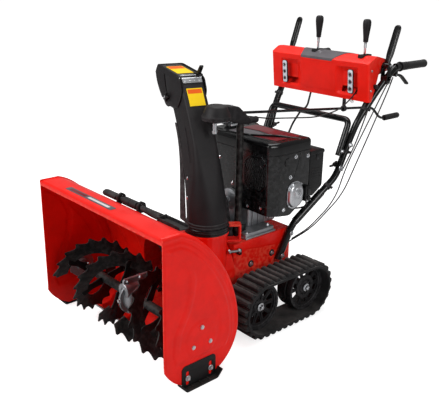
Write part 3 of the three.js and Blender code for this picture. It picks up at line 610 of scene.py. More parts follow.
def distance_to(line, y, z):
    """Shortest distance from points to a line, as arrays."""
    best = np.full(y.shape, 1e9)
    for a, b in zip(line[:-1], line[1:]):
        d = b - a
        t = np.clip(((y - a.x) * d.x + (z - a.y) * d.y) / d.length_squared, 0, 1)
        best = np.minimum(best, np.hypot(y - a.x - t * d.x, z - a.y - t * d.y))
    return best


def step(value, low, high):
    t = np.clip((value - low) / (high - low), 0, 1)
    return t * t * (3 - 2 * t)


# The front edge of the panel pressed into the side plate: heights, with the distance from the lip.
PANEL_EDGE = ((90, 44), (132, 34), (195, 41), (262, 76), (310, 91), (361, 98), (376, 94), (407, 85),
              (435, 68), (456, 40), (480, 0))


def pressing(y, z):
    """How far the side plate stands out: rolled rim, two steps, a panel with a hollow, and a boss."""
    rear = distance_to(REAR_LINE, y, z)
    low = step(z, 86, 108)
    out = -(ROLL - np.sqrt(np.maximum(0, ROLL**2 - np.maximum(0, ROLL - rear) ** 2)))
    out += -1.8 * step(rear, 8, 11) * low + 2.0 * step(rear, 22, 27) * low * step(y, 3, 8)
    left = np.interp(z, *zip(*PANEL_EDGE))
    panel = step(rear, 37, 43) * step(y - left, -4, 4) * low
    hollow = step(rear, 76, 83) * step(y - left, 16, 26) * step(z, 120, 170)
    out += 2.8 * panel - 2.2 * panel * hollow
    boss = np.hypot(y - AUGER_Y, z - AUGER_Z)
    out += 1.8 * (1 - step(boss, 57, 62)) * low
    return out


def side_plate():
    """The pressed plate as a ruled sheet between the front edge and the rear outline."""
    heights = np.concatenate([BELLY_LOW + (60 - BELLY_LOW) * np.linspace(0, 1, 22)[:-1] ** 1.7,
                              np.linspace(60, TOP - ROLL, 112),
                              TOP - ROLL + ROLL * np.sin(np.linspace(0, math.pi / 2, 8))[1:]])
    line = np.array([tuple(p) for p in REAR_LINE[:-1]])
    shares = np.linspace(0, 1, 74)
    shares = shares - 0.12 * np.sin(2 * math.pi * shares) / (2 * math.pi) * 3
    rows_y, rows_z = [], []
    for z in heights:
        drop = (z - AUGER_Z) / BELLY
        front = AUGER_Y - BELLY * math.sqrt(max(0, 1 - drop * drop)) if z < 86.5 else 0.0
        front = max(front, 0.0)
        back = float(np.interp(z, line[:, 1], line[:, 0]))
        rows_y.append(front + (back - front) * shares)
        rows_z.append(np.full(shares.shape, z))
    y, z = np.array(rows_y), np.array(rows_z)
    x = HALF + pressing(y, z)
    rows = [[(x[r][c], y[r][c], z[r][c]) for c in range(y.shape[1])] for r in range(y.shape[0])]
    return thick(*grid(rows), -3.0)


def roof_and_back():
    """The sheet from the scraper round the belly and up to the front lip, with pressed ribs on its back."""
    line = [Vector((156, 10.6)), *belly(-67, 0, 14)[:-1], *rear_curve(30), Vector((20, TOP))]
    line += softened([(20, TOP), (0.6, TOP), (0.6, TOP - 20)], 13, 6, closed=False)[1:]
    rows = []
    across = np.linspace(-HALF + 1.2, HALF - 1.2, 181)
    for i, p in enumerate(line):
        along = (line[min(i + 1, len(line) - 1)] - line[max(i - 1, 0)]).normalized()
        inwards = Vector((-along.y, along.x))
        high = float(step(np.array(p.y), 215, 260) * step(np.array(500 - p.y), 0, 40))
        row = []
        for x in across:
            rib = sum(math.exp(-(((x - place) / 9) ** 2)) for place in (-262, -150, 150, 262))
            edge = max(0.0, abs(x) - (HALF - 10)) / 10
            lift = 3.0 * high * rib + 4.0 * edge**3 * (1 if 4 < i < len(line) - 9 else 0)
            point = p + inwards * (lift + 3.2)
            row.append((x, point.x, point.y))
        rows.append(row)
    sheet = thick(*grid(rows), -3.0)
    throat = spun(disc(150, -60, 160), 72, "y", 0, 300, IMPELLER_Z)
    return carved(sheet, throat)


def auger_housing():
    plates = side_plate()
    bolt = merged(washer(13, 1.6), moved(hex_bolt(8.0, 6.5, 1.2), at(0, 0, 1.2)))
    spots = [(HALF + 2.0, AUGER_Y + 39 * math.cos(math.radians(t)), AUGER_Z
              + 39 * math.sin(math.radians(t))) for t in (90, -32, 209)]
    bolts = placed(bolt, "x", spots)
    rivets = placed(lathe([(0, 0), (3.6, 0), (3.2, 0.9), (0, 1.2)], 16), "x",
                    [(HALF - 0.2, 81, 459), (HALF - 0.2, 140, 414)])
    piece("auger_housing_shell", merged(pair(plates), roof_and_back()), red_paint, "chassis",
          ["auger_housing"], angle=40)
    piece("housing_bolts", pair(bolts), steel)
    piece("housing_plugs", pair(rivets), black_paint)
    badge = slab(rounded(-214, 62, 20, 44, 4), TOP - 0.2, TOP + 0.7, 0.3)
    stripe = slab(rounded(-196, -96, 25, 39, 3), TOP + 0.5, TOP + 0.95, 0.2)
    stripe_two = slab(rounded(-84, 40, 27, 37, 3), TOP + 0.5, TOP + 0.95, 0.2)
    piece("roof_badge", [(badge, grey_label), (stripe, wine_label), (stripe_two, pale_label)], grey_label)
    carry("scraper_bar", steel, bevel=1.0)


TEETH_PER_TURN = 18
TURNS = 0.95


def flight(phase):
    """One serrated ribbon: pointed teeth along its rim, with the section drawn square to the shaft."""
    teeth = int(TEETH_PER_TURN * TURNS)
    start, end = 46.0, 320.0
    rings = []
    profile = [(0.0, 124), (0.32, 130), (0.60, 139.6), (0.72, 138.6), (0.80, 126)]
    for tooth in range(teeth):
        for share, radius in profile:
            rings.append(((tooth + share) / teeth, radius))
    rings.append((1.0, 124))
    skin = []
    for t, radius in rings:
        angle = phase + t * TURNS * 2 * math.pi
        x = start + t * (end - start)
        y, z = math.cos(angle), math.sin(angle)
        bite = 0.9 if radius > 130 else 2.4
        skin.append([(x + dx, AUGER_Y + r * y, AUGER_Z + r * z) for dx,
                     r in ((-2.4, 78.4), (2.4, 78.4), (2.4, 116), (bite, radius), (-bite, radius),
                           (-2.4, 116))])
    return loft(skin)


def spoke(phase, t):
    x = 46 + t * 274
    angle = math.degrees(phase + t * TURNS * 2 * math.pi)
    outline = softened([(12, -15), (60, -11), (96, -20), (104, -6), (104, 8), (96, 20), (60, 11), (12, 15)],
                       10, 4)
    arm = plate("x", outline, -2.5, 2.5, 0.8)
    return moved(arm, at(x, AUGER_Y, AUGER_Z) @ turn("X", angle))


def augers():
    parts = [spun([(10.2, 40), (14.8, 40), (16, 41.2), (16, 324.8), (14.8, 326), (10.2, 326)], 32,
                   "x", 0, AUGER_Y, AUGER_Z, closed=True)]
    for phase in (0.4, 0.4 + math.pi):
        parts.append(flight(phase))
        parts += [spoke(phase, t) for t in (0.12, 0.5, 0.88)]
    pins = []
    for x in (62, 300):
        pins.append(stood(merged(hex_bolt(5.5, 4.2, 1.0), lathe(disc(3.6, -36, 1), 12)), "z",
                          x, AUGER_Y, AUGER_Z + 15.5))
    both("auger_flights", merged(*parts), black_paint, "auger", ["*_auger"], 28)
    piece("shear_pins", pair(merged(*pins)), steel, "auger")
    carry("auger_shaft", steel)
    carry("worm_wheel", cast_metal, bevel=0.3)
    for side in ("left", "right"):
        carry(f"{side}_auger_bearing", cast_metal)


def gearbox():
    """A case split down its middle, with a bolted flange round the wheel and along the shaft."""
    dome = [(13, -33.8), (32, -33.8), (39, -31.5), (44, -26), (46.5, -17), (48, -6), (48, 6), (46.5, 17),
            (44, 26), (39, 31.5), (32, 33.8), (13, 33.8), (13, 31), (36, 28), (42, 10), (42, -10),
            (36, -28), (13, -31)]
    body = spun(dome, 56, "x", 0, AUGER_Y, AUGER_Z, closed=True)
    collars = [spun([(10.4, 32), (19, 32), (19, 37), (17, 39), (10.4, 39)], 32, axis, 0, AUGER_Y,
                     AUGER_Z, closed=True) for axis in ("x", "-x")]
    neck = spun([(13, -45), (26, -45), (28, -43), (28, -14), (25.5, -8), (25.5, 44), (28, 50), (28, 68),
                 (26, 70), (13, 70)], 48, "back", 0, AUGER_Y, IMPELLER_Z, closed=True)
    flange = merged(plate("x", circle(AUGER_Y, AUGER_Z, 62, 72), -5, 5, 1.0,
                          [circle(AUGER_Y, AUGER_Z, 43, 40)]),
                    plate("x", rounded(98, 218, 200, 230, 9, 5), -4.8, 4.8, 1.0))
    spots = [(5.2, y, z) for y, z in ((112, 221), (163, 224), (208, 221), (104, 171), (114, 109),
                                      (160, 102), (190, 126))]
    nuts = placed(hex_bolt(5.6, 5.0, 1.2), "x", spots)
    plug = stood(hex_bolt(6.5, 6.0, 1.3, end=False), "y", 0, AUGER_Y - 60, AUGER_Z + 2)
    piece("gearbox_halves", merged(body, *collars, flange, neck), cast_metal,
          "chassis", ["gearbox_case"])
    piece("gearbox_bolts", merged(pair(nuts), plug), steel)


def skid_shoes():
    slots = [rounded(y - 6, y + 6, 12, 60, 5.9) for y in (86, 178)]
    side = plate("x", rounded(64, 200, 5, 80, 14, 6), 356, 361, 1.2, slots)
    foot = softened([(48, 24), (70, 0), (194, 0), (216, 24), (211, 28.5), (191.5, 6), (72.5, 6),
                     (53, 28.5)], 5, 4)
    sole = plate("x", foot, 356, 380, 1.2)
    ribs = [plate("x", [(y - 2, 5), (y + 2, 5), (y + 2, 8), (y - 2, 8)], 358, 377, 0.4)
            for y in (100, 132, 164)]
    shoe = merged(side, sole, *ribs)
    nuts = placed(merged(washer(9.5, 2), hex_bolt(6.2, 6.5, 1.05)), "x",
                  [(361.4, 86, 36), (361.4, 178, 36)])
    both("skid", shoe, black_paint, "*_shoe", ["*_skid_shoe"])
    both("skid_nuts", nuts, steel)


def clean_out_tool():
    y, z = 134, 498
    shaft = merged(tube([(-70, y, z), (172, y, z)], 9.6, 20),
                   *[tube([(a, y, z), (a + 3, y, z), (b - 3, y, z), (b, y, z)], 14, 20) for a,
                     b in ((-24, 12), (14, 48))])
    grip = moved(loft([[(math.cos(t) * 11.0 * s, math.sin(t) * 15 * s, d)
                        for t in np.arange(24) * math.pi / 12] for d,
                       s in ((0, 0.5), (2, 0.85), (5, 1), (70, 1), (76, 0.9), (80, 0.5))]),
                 at(-66, y, z) @ turn("Y", -90))
    shoulder = moved(loft([[(a * w, b * h, d) for a, b in circle(0, 0, 1, 24)] for d, w,
                           h in ((-24, 9, 9), (0, 10, 12), (24, 10.5, 15), (48, 9, 18), (60, 8, 19))]),
                     at(112, y, z - 2) @ turn("Y", 90))
    blade = rounded(172, 285, 117, 156, 12)
    flat = slab(blade, 488.6, 491.4, 0.6)
    walls = [brick((172, 280), (a, b), (489, 501), 0.9) for a, b in ((117.5, 120.5), (152.5, 155.5))]
    heel = brick((170, 176), (118, 155), (489, 503), 1.5)
    clip_base = brick((22, 40), (118, 150), (484, 489.6), 1)
    clip = plate("x", softened([(116, 488), (152, 488), (150, 512), (134, 521), (118, 512)], 6, 3), 26, 34,
                 1.0, [circle(134, 498, 10.4, 24)])
    clip = moved(merged(clip, clip_base), at(-78, 0, 0))
    piece("clean_out_shovel", merged(shaft, grip, shoulder, flat, *walls, heel), black_plastic, "tool",
          ["clean_out_tool"])
    piece("tool_clips", merged(clip, moved(clip, at(114, 0, 0))), black_plastic)


auger_housing()
augers()
gearbox()
skid_shoes()
clean_out_tool()
carry("impeller_housing", red_paint, bevel=1.2)
for name, look in (("impeller", black_paint), ("impeller_shaft", steel), ("impeller_pulley", cast_metal),
                   ("crankshaft_pulley", cast_metal), ("drive_belt", rubber)):
    carry(name, look, bevel=0.4)


# ---- Chute ------------------------------------------------------------------------------------------

OUTLET = middle("chute_ring")
CHUTE = at(OUTLET.x, OUTLET.y, 0) @ turn("Z", -105)
STRAIGHT, CHUTE_TOP = 400.0, 880.0
HINGE_OUT, HINGE_Z = 136.0, 871.0
TIP = HINGE_OUT + 190.0
KNOB_REACH = 119.0


def rise(z):
    return max(0.0, (z - STRAIGHT) / (CHUTE_TOP - STRAIGHT))


def chute_back(z):
    return -70 + 210 * rise(z) ** 1.6


def chute_front(z):
    return 70 + 215 * rise(z) ** 1.75


def squareness(z):
    t = min(1.0, max(0.0, (z - STRAIGHT) / 290))
    return t * t * (3 - 2 * t)


def chute_half(z):
    return 70 - 26 * squareness(z)


def chute_level(z, wall):
    half = chute_half(z) - wall
    radius = min(70 - 57 * squareness(z), half + wall) - wall
    ring = rounded(-half, half, -chute_front(z) + wall, -chute_back(z) - wall, radius - 0.01, 8)
    return [(x, y, z) for x, y in ring]


def chute_body():
    def skin(wall, low, high):
        return loft([chute_level(z, wall) for z in [low, 384, *np.linspace(400, high, 36)]])

    mouth = [(-640, 600), (-chute_front(600) + 10, 600)]
    mouth += [(-chute_front(z) + 10, z) for z in range(630, 841, 30)] + [(-640, 840)]
    opening = plate("x", mouth, -41, 41, 0.01)
    above = plate("x", [(0, 1100), (0, 900), (-HINGE_OUT, HINGE_Z), (-226, 803), (-640, 803), (-640, 1100)],
                  -90, 90, 0.01)
    shell = carved(skin(0, 368, 890), skin(3, 367, 891), opening, above)
    beads = []
    for side in (1, -1):
        fin = []
        for z in np.linspace(386, 711, 24):
            low = (711 - z) / 325
            x, front = side * chute_half(z) * (1 - 0.07 * low), -chute_front(z)
            fin.append([(x - 1.3, front - 3 - 9 * low, z), (x + 1.3, front - 3 - 9 * low, z),
                        (x + 1.3, front + 14 + 24 * low, z), (x - 1.3, front + 14 + 24 * low, z)])
        beads.append(loft(fin))
        rail = [(side * (chute_half(z) + 0.4), -(chute_back(z) * 0.62 + chute_front(z) * 0.38), z)
                for z in np.linspace(600, 711, 8)]
        beads.append(tube(rail, (1.6, 1.2), 8))
    collar = lathe([(69.6, 384.6), (74.5, 384.6), (75.5, 386), (75.5, 391), (73.5, 393), (73.5, 399),
                    (72.2, 401), (69.6, 402)], 80, closed=True)
    lug = brick((-3.2, 3.2), (71, 76.6), (377, 384.4), 0.8)
    piece("chute_shell", moved(merged(shell, collar, *beads), CHUTE), black_plastic, "chute",
          ["chute_body"], angle=30)
    groove = [(72.6, 362.8), (78.2, 362.8), (79, 363.8), (79, 367.6), (77.2, 368.6), (77.2, 371.4),
              (79, 372.4), (79, 376), (77.6, 377), (77.6, 379.4), (78.6, 380.4), (78.6, 383), (77.8, 384),
              (72.6, 384)]
    ring = moved(lathe(groove, 96, closed=True), CHUTE)
    lugs = [moved(lug, CHUTE @ turn("Z", k * 45 + 20)) for k in range(8)]
    piece("chute_band", merged(ring, *lugs), shiny_plastic, "chute", ["chute_ring"])

    screws = []
    for z, back in ((545, 0.42), (480, 0.4)):
        y = -(chute_back(z) * back + chute_front(z) * (1 - back))
        screws += [stood(pan_screw(6.2), "x", chute_half(z) - 1, y, z),
                   stood(pan_screw(6.2), "-x", 1 - chute_half(z), y, z)]
    piece("chute_screws", moved(merged(*screws), CHUTE), chrome, "chute")

    def on_back(low, high, half, lift):
        """A thin sheet that follows the back wall between two heights."""
        across = np.linspace(-half, half, 8)
        rows = [[(x, -chute_back(z) + lift, z) for x in across] for z in np.linspace(low, high, 8)]
        return thick(*grid(rows), -0.9)

    label = on_back(784, 838, 29, 1.0)
    header = on_back(822, 835, 26, 1.3)
    piece("chute_label", [(moved(label, CHUTE), yellow_label), (moved(header, CHUTE), orange_label)],
          yellow_label, "chute")
    hinge = on_back(855, 868, 36, 2.2)
    pin = tube([(x, -chute_back(870) + 2.0, 869.5) for x in (-37, 37)], 2.6, 14)
    rivets = [moved(lathe([(0, 0), (3, 0), (2.6, 1.4), (0, 2)], 14),
                    at(x, -chute_back(862) + 2.0, 862) @ turn("X", -65)) for x in (-27, -9, 9, 27)]
    piece("hinge_leaf", moved(merged(hinge, pin, *rivets), CHUTE), steel, "chute")


def deflector():
    roof_side = [(-137, 875.4), (-TIP, 891.4), (-TIP, 887.8), (-137, 871.6)]
    roof = plate("x", roof_side, -47.6, 47.6, 0.8)
    rims = [plate("x", softened([(-140, 875), (-TIP + 2, 890), (-TIP + 4, 895.5), (-305, 895.6),
                                 (-142, 880.6)], 3, 3), a, a + 3.4, 0.9) for a in (-47.8, 44.4)]
    front_rim = brick((-46, 46), (-TIP, -TIP + 4), (887, 895), 1.2)
    cheek = [(-123, 866), (-137, 874.5), (-TIP, 890.5), (-343, 869), (-330, 832), (-306, 803)]
    cheek += arc(-231, 797, 40, 205, 300, 8) + [(-172, 760), (-143, 769), (-122, 792), (-111, 812),
                                                (-107, 830)]
    cheek = softened(cheek, 6, 3)
    slot = arc(-HINGE_OUT, HINGE_Z, KNOB_REACH + 4.4, 181, 225, 12) + arc(-HINGE_OUT, HINGE_Z,
                                                                          KNOB_REACH - 4.4, 225, 181, 12)
    cheeks = [plate("x", cheek, a, a + 2.9, 0.7, [slot]) for a in (-48.1, 45.2)]
    backing = arc(-HINGE_OUT, HINGE_Z, KNOB_REACH + 7, 179, 228, 12) + arc(-HINGE_OUT, HINGE_Z,
                                                                           KNOB_REACH - 7, 228, 179, 12)
    backs = [plate("x", backing, a, a + 0.6, 0.1) for a in (-45.1, 44.5)]
    hems = [tube([(x, -TIP - 15, 868), (x, -TIP - 3, 834), (x, -306, 806), (x, -280, 783)], 2.6, 10,
                 bend=16) for x in (-46.6, 46.6)]
    hood = merged(roof, *rims, front_rim, *cheeks, *hems, *backs)
    piece("deflector_hood", moved(hood, CHUTE), black_plastic, "deflector", ["chute_deflector"], angle=30)
    lean = math.degrees(math.atan2(15.6, 176))
    on_roof = CHUTE @ at(0, -137, 875.6) @ turn("X", -lean) @ turn("Z", 180)
    sticker = slab(rounded(-31, 31, 42, 150, 5), 0.1, 0.9, 0.3)
    head = slab(rounded(-28, 28, 110, 147, 3), 0.5, 1.15, 0.2)
    piece("deflector_label", [(moved(sticker, on_roof), yellow_label),
                              (moved(head, on_roof), orange_label)], yellow_label, "deflector")
    leaf = moved(slab(rounded(-36, 36, 4, 20, 3), 0.2, 2.0, 0.5), on_roof)
    studs = [moved(lathe([(0, 1.6), (3.2, 1.6), (2.8, 3.2), (0, 3.8)], 14), on_roof @ at(x, 12, 0))
             for x in (-24, 0, 24)]
    piece("hinge_roof_leaf", merged(leaf, *studs), steel, "deflector")
    arm = plate("x", softened([(-140, 876), (-166, 878), (-166, 884), (-140, 886), (-112, 916), (-105, 911),
                               (-129, 880)], 5, 3), -34, -22, 0.8, [circle(-116, 905, 3.2, 16)])
    piece("cable_bracket", moved(arm, CHUTE), black_paint, "deflector")


def deflector_knobs():
    """Star knobs on studs through the slots, and the washers behind them."""
    angle = math.radians(221)
    y, z = -HINGE_OUT + KNOB_REACH * math.cos(angle), HINGE_Z + KNOB_REACH * math.sin(angle)
    star = [((13.5 + 3.6 * math.cos(5 * t)) * math.cos(t), (13.5 + 3.6 * math.cos(5 * t)) * math.sin(t))
            for t in np.arange(60) * math.pi / 30]
    knob = merged(slab(star, 3.2, 13, 1.8), lathe([(0, 0), (7, 0), (7, 3), (9, 3.6), (0, 3.6)], 24))
    cap = lathe([(0, 12.4), (5, 12.4), (4.6, 14.4), (2.8, 15.2), (0, 15.4)], 24)
    parts = [(stood(knob, "x", 48.6, y, z), black_plastic), (stood(cap, "x", 48.6, y, z), steel),
             (stood(washer(9, 1.4), "-x", -48.6, y, z), steel),
             (stood(hex_bolt(5.4, 5, 1.2), "-x", -49.4, y, z), steel)]
    piece("deflector_knob", [(moved(mesh, CHUTE), look) for mesh, look in parts], black_plastic, "chute")


def chute_drive():
    """A dome over the turning gear, the arm back to the crank rod, and their bracket."""
    x, y = 88, 430
    profile = [(0, 797.8), (27, 797.2), (33, 795), (37, 790.5), (46, 768), (48.6, 762), (50, 760.6),
               (50, 749), (49, 748.2), (47.6, 748.6), (47.4, 758), (44, 768), (35, 788), (0, 793.4)]
    dome = spun(profile, 72, "z", x, y, 0)
    arm_side = softened([(436, 752), (484, 735.5), (530, 722), (572, 722), (572, 734), (512, 786),
                         (436, 797)], 8, 4)
    clear = spun([(0, 700), (47.2, 700), (47.2, 759), (34.6, 792), (0, 793)], 48, "z", x, y)
    arm = carved(plate("x", arm_side, 62, 112, 4.0, resolution=3), clear)
    nose = spun([(0, 560), (10.6, 560), (10.6, 600), (11.6, 602), (11.6, 614), (10.4, 617.4), (0, 617.8)],
                32, "back", 90, 0, 726)
    rod_way = spun(disc(8.8, 540, 640), 24, "back", 86, 0, 756)
    rib = tube([(62.6, 520, 777), (62.6, 470, 786), (62.6, 446, 788)], 1.6, 8)
    piece("drive_cover", merged(dome, carved(arm, rod_way), carved(nose, rod_way), rib), black_plastic,
          "chassis", ["chute_drive_cover"], angle=30)
    piece("drive_cover_screws", placed(pan_screw(4), "z", [(x + 14, 452, 794.6), (x - 8, 504, 786.6)]),
          steel)
    bed = slab(rounded(56, 112, 476, 506, 3), 724, 731, 0.8,
               [circle(66, 491, 3.4, 16), circle(103, 491, 3.4, 16)])
    piece("drive_bed", merged(bed, brick((70, 100), (484, 500), (730.5, 744), 1.0)), steel)
    pin = lathe([(0, 706), (8, 706), (8, 709), (9.6, 709), (9.6, 716), (7.2, 717), (7.2, 740), (0, 740)],
                28)
    post = merged(stood(pin, "z", 100, 412), brick((93, 107), (408, 470), (738, 742), 1.0))
    piece("drive_bolt", post, steel)
    low, high = box_mm("chute_column")
    post = tube([(80, 547, low.z + 3), (80, 547, high.z)], 13, 24)
    foot = brick((58, 102), (534, 575), (low.z, low.z + 5.7), 1.0)
    ears = [brick((x, x + 4), (536, 572), (low.z + 3, low.z + 46), 1.4) for x in (62, 94)]
    piece("drive_post", merged(post, foot, *ears), black_paint, "chassis", ["chute_column"])
    pinion = brick((-2.2, 2.2), (15, 20.5), (750, 760), 0.6)
    gear = merged(lathe(disc(17, 750, 760), 32),
                  *[moved(pinion, turn("Z", k * 30)) for k in range(12)])
    piece("drive_gear", moved(gear, at(x, y, 0)), cast_metal)


def crank():
    path = [(86, 558, 756), (140, 1222, 703), (146, 1274, 651), (146, 1392, 650)]
    piece("crank_bar", tube(path, 5, 16, bend=26), gloss_black, "crank", ["crank_rod"])
    low, high = box_mm("crank_grip")
    length = high.y - low.y
    ridges = [(6.3, 0), (10.4, 0), (11.8, 2)]
    for k in range(12):
        place = 6 + k * 6.4
        ridges += [(11.9, place), (11.9, place + 3.4), (11.0, place + 4.2), (11.0, place + 5.6)]
    ridges += [(11.6, length - 12), (12, length - 6), (10.6, length - 1.5), (7, length), (0, length),
               (0, length - 3), (6.3, length - 4)]
    piece("crank_knob", spun(ridges, 36, "back", 146, low.y, 650), grip_rubber, "crank_grip",
          ["crank_grip"])


chute_body()
deflector()
deflector_knobs()
chute_drive()
crank()


# ---- Frame and tracks -------------------------------------------------------------------------------

HUB_Z = middle("left_drive_wheel").z
FRONT_HUB, BACK_HUB = middle("left_idler_wheel").y, middle("left_drive_wheel").y
WHEEL = 87.0
BELT = 10.0
LUGS = 36


def frame_tub():
    carry("frame", red_paint, bevel=2.4)
    cover = softened([(476, 274), (517, 269), (721, 242), (763, 246), (763, 300), (476, 300)], 4, 3)
    flaps = [plate("x", cover, a, a + 1.6, 0.5) for a in (140.0, -141.6)]
    deck_holes = [circle(x, y, 4.2, 16) for x in range(-124, 130, 14) for y in (704, 717, 730, 743)]
    deck = slab(rounded(-138, 138, 692, 760, 8), 300.3, 302, 0.5, deck_holes)
    piece("frame_cover", merged(*flaps, deck), red_paint)
    big = lathe([(5, 0), (13, 0), (13, 1.4), (12, 2.4), (5, 2.4)], 36, closed=True)
    spots = [(140.2, 561, 204), (140.2, 669, 218), (140.2, 561, 122), (140.2, 660, 122)]
    washers = placed(big, "x", spots)
    heads = placed(hex_bolt(6.6, 6, 1.2), "x", [(x + 2.2, y, z) for x, y, z in spots])
    piece("frame_washers", pair(washers), black_paint)
    piece("frame_bolts", pair(heads), steel)
    stud = tube([(150, 438, 288), (150, 495, 276)], 5.4, 16)
    collar = lathe([(0, -4), (9, -4), (9, 3), (8, 4), (0, 4)], 24)
    ends = [moved(collar, at(150, y, z) @ turn("X", -78)) for y, z in ((441, 287.4), (491, 276.8))]
    stay = brick((139.5, 156), (488, 500), (262, 284), 2)
    piece("side_stud", [(merged(stud, *ends), steel), (stay, black_paint)], steel)
    for side in ("left", "right"):
        carry(f"{side}_track_beam", black_paint, bevel=1.5)
        carry(f"{side}_drive_axle", steel)


def loop_point(along, out):
    """A place on the track's loop, by its distance along the belt and its height over the wheels."""
    reach = BACK_HUB - FRONT_HUB
    half = math.pi * (WHEEL + BELT)
    radius = WHEEL + out
    along %= 2 * reach + 2 * half
    if along < reach:
        return (FRONT_HUB + along, HUB_Z - radius), -90.0
    if along < reach + half:
        angle = (along - reach) / half * 180 - 90
        centre = BACK_HUB
    elif along < 2 * reach + half:
        return (BACK_HUB - (along - reach - half), HUB_Z + radius), 90.0
    else:
        angle = (along - 2 * reach - half) / half * 180 + 90
        centre = FRONT_HUB
    t = math.radians(angle)
    return (centre + radius * math.cos(t), HUB_Z + radius * math.sin(t)), angle


LOOP = 2 * (BACK_HUB - FRONT_HUB) + 2 * math.pi * (WHEEL + BELT)


def track():
    steps = 216
    band = [loop_point(LOOP * k / steps, 9.5)[0] for k in range(steps)]
    inner = [loop_point(LOOP * k / steps, 0.5)[0] for k in range(steps)]
    belt = plate("x", band, 197.4, 312.6, 1.6, [inner])
    pitch = LOOP / LUGS
    profile = softened([(-11, -1.5), (11, -1.5), (8.2, 7.5), (5.6, 12.4), (-5.6, 12.4), (-8.2, 7.5)], 2.6,
                       3)
    bar_end = []
    for x, s in ((201, 0.6), (204, 1.0), (246, 1.0), (251, 0.9), (259, 0.9), (264, 1.0), (306, 1.0),
                 (309, 0.6)):
        bar_end.append([(x, a, b * s if b > 0 else b) for a, b in profile])
    lug = loft(bar_end)
    tread = []
    between = merged(moved(lathe([(0, -1), (3.4, -1), (3, 1.2), (0, 1.6)], 10), at(255)),
                     *[brick((x - 12, x + 12), (-1.6, 1.6), (-1, 1.8), 0.7, 1) for x in (220, 290)])
    for k in range(LUGS):
        for share, mesh in ((0.3, lug), (0.8, between)):
            (y, z), angle = loop_point((k + share) * pitch, 9.5)
            tread.append(moved(mesh, at(0, y, z) @ turn("X", angle - 90)))
    both("track_belt", merged(belt, *tread), rubber, "chassis", ["*_track"], 34)


def wheel(y, rear):
    """A moulded wheel: rim, web with openings, ribs from its hub, and one ring more on the rear wheel."""
    rim = [(78, 208.4), (86.4, 208.4), (86.8, 210), (86.8, 246), (84, 248), (84, 255), (86.8, 257),
           (86.8, 274.6), (86.4, 276), (78, 276), (76.5, 274), (79, 270), (79, 214), (76.5, 210)]
    count = 10
    openings = []
    for k in range(count):
        mid = 360 / count * (k + 0.5)
        sector = arc(0, 0, 68, mid - 11, mid + 11, 5) + arc(0, 0, 40, mid + 8, mid - 8, 4)
        openings.append(softened(sector, 6, 3))
    web = slab(circle(0, 0, 80, 90), 259, 264, 0.8, openings)
    hub = lathe([(10.4, 204.4), (21, 204.4), (22, 206), (22, 262), (26, 264), (26, 266.4), (20, 269.6),
                 (10.4, 269.8)], 48, closed=True)
    rib_side = softened([(20, 262), (78, 262), (78, 264.6), (50, 266.4), (30, 269), (20, 269)], 2, 2)
    rib = moved(slab(rib_side, -2.2, 2.2, 0.6), Matrix(((1, 0, 0), (0, 0, -1), (0, 1, 0))).to_4x4())
    ribs = [moved(rib, turn("Z", 360 / count * k)) for k in range(count)]
    step_ring = lathe([(72, 262), (78.4, 262), (78.4, 271), (75, 272), (72, 270)], 80, closed=True)
    parts = [lathe(rim, 96, closed=True), web, hub, *ribs, step_ring]
    if rear:
        parts.append(lathe([(30, 262), (46, 262), (46, 268), (43, 270), (33, 270), (30, 268)], 60,
                           closed=True))
    body = stood(merged(*parts), "x", 0, y, HUB_Z)
    nut = merged(washer(15, 2.0), moved(hex_bolt(9.5, 7, 1.1), at(0, 0, 1.6)))
    return body, stood(nut, "x", 274.2, y, HUB_Z)


def wheels():
    for kind, y, rear in (("drive", BACK_HUB, True), ("idler", FRONT_HUB, False)):
        body, nut = wheel(y, rear)
        both(f"{kind}_disc", body, black_plastic, f"*_{kind}", [f"*_{kind}_wheel"])
        both(f"{kind}_nut", nut, steel, f"*_{kind}")


frame_tub()
track()
wheels()


# ---- Engine -----------------------------------------------------------------------------------------

SIDE = 200.0
FRONT, BACK = 588.0, 790.0


def plan(grow):
    """The engine cover from above, with the slanted corner beside the vent."""
    return [(-92 - grow, FRONT - grow), (183 + grow, FRONT - grow), (SIDE + grow, 628),
            (SIDE + grow, BACK + grow), (-92 - grow, BACK + grow)]


def level(outline, z):
    return [(p[0], p[1], z) for p in outline]


def engine_cover():
    base = softened(plan(0), 9, 4)
    tall = loft([level(base, 360), level(base, 618)])
    side = softened([(570, 396), (690, 379), (BACK + 10, 446), (BACK + 10, 640), (570, 640)], 10, 4)
    lower = carved(tall, plate("x", side, -130, 230, 0.01), operation="INTERSECT")
    hood = softened(plan(1.6), 12, 5)
    rings = [level(inset(hood, 2.0), 613), level(hood, 615)]
    rings += [level(inset(hood, 15 * (1 - math.cos(t))), 642 + 15 * math.sin(t))
              for t in np.linspace(0, 1.45, 8)]
    top = loft(rings)
    crown = slab(rounded(-70, 176, 618, 772, 22, 6), 655.5, 658.2, 1.4)
    ridge = tube([(-86, 596, 654), (60, 630, 661), (120, 690, 661.5), (190, 742, 654)], 4.2, 12, bend=60)
    waist = softened(plan(1.0), 10, 4)
    bead = loft([level(inset(waist, 1.2), 609), level(waist, 610), level(waist, 612),
                 level(inset(waist, 1.2), 613)])
    foot = [plate("x", softened([(600, 392), (684, 380), (684, 372), (604, 384)], 3, 2), a, a + 30, 1)
            for a in (-80, 130)]
    piece("engine_shell", merged(lower, top, crown, ridge, bead, *foot), gloss_black, "chassis",
          ["engine_shroud"], angle=30)
    fields = [([(-60, 622), (40, 622), (106, 672), (20, 690), (-60, 680)], grey_label),
              ([(62, 626), (166, 640), (166, 700), (122, 676)], wine_label),
              ([(-60, 694), (24, 704), (104, 688), (168, 742), (168, 766), (-60, 766)], wine_label)]
    stickers = [(slab(softened(field, 8, 3), 657.8, 658.9, 0.3), look) for field, look in fields]
    piece("engine_top_labels", stickers, grey_label)


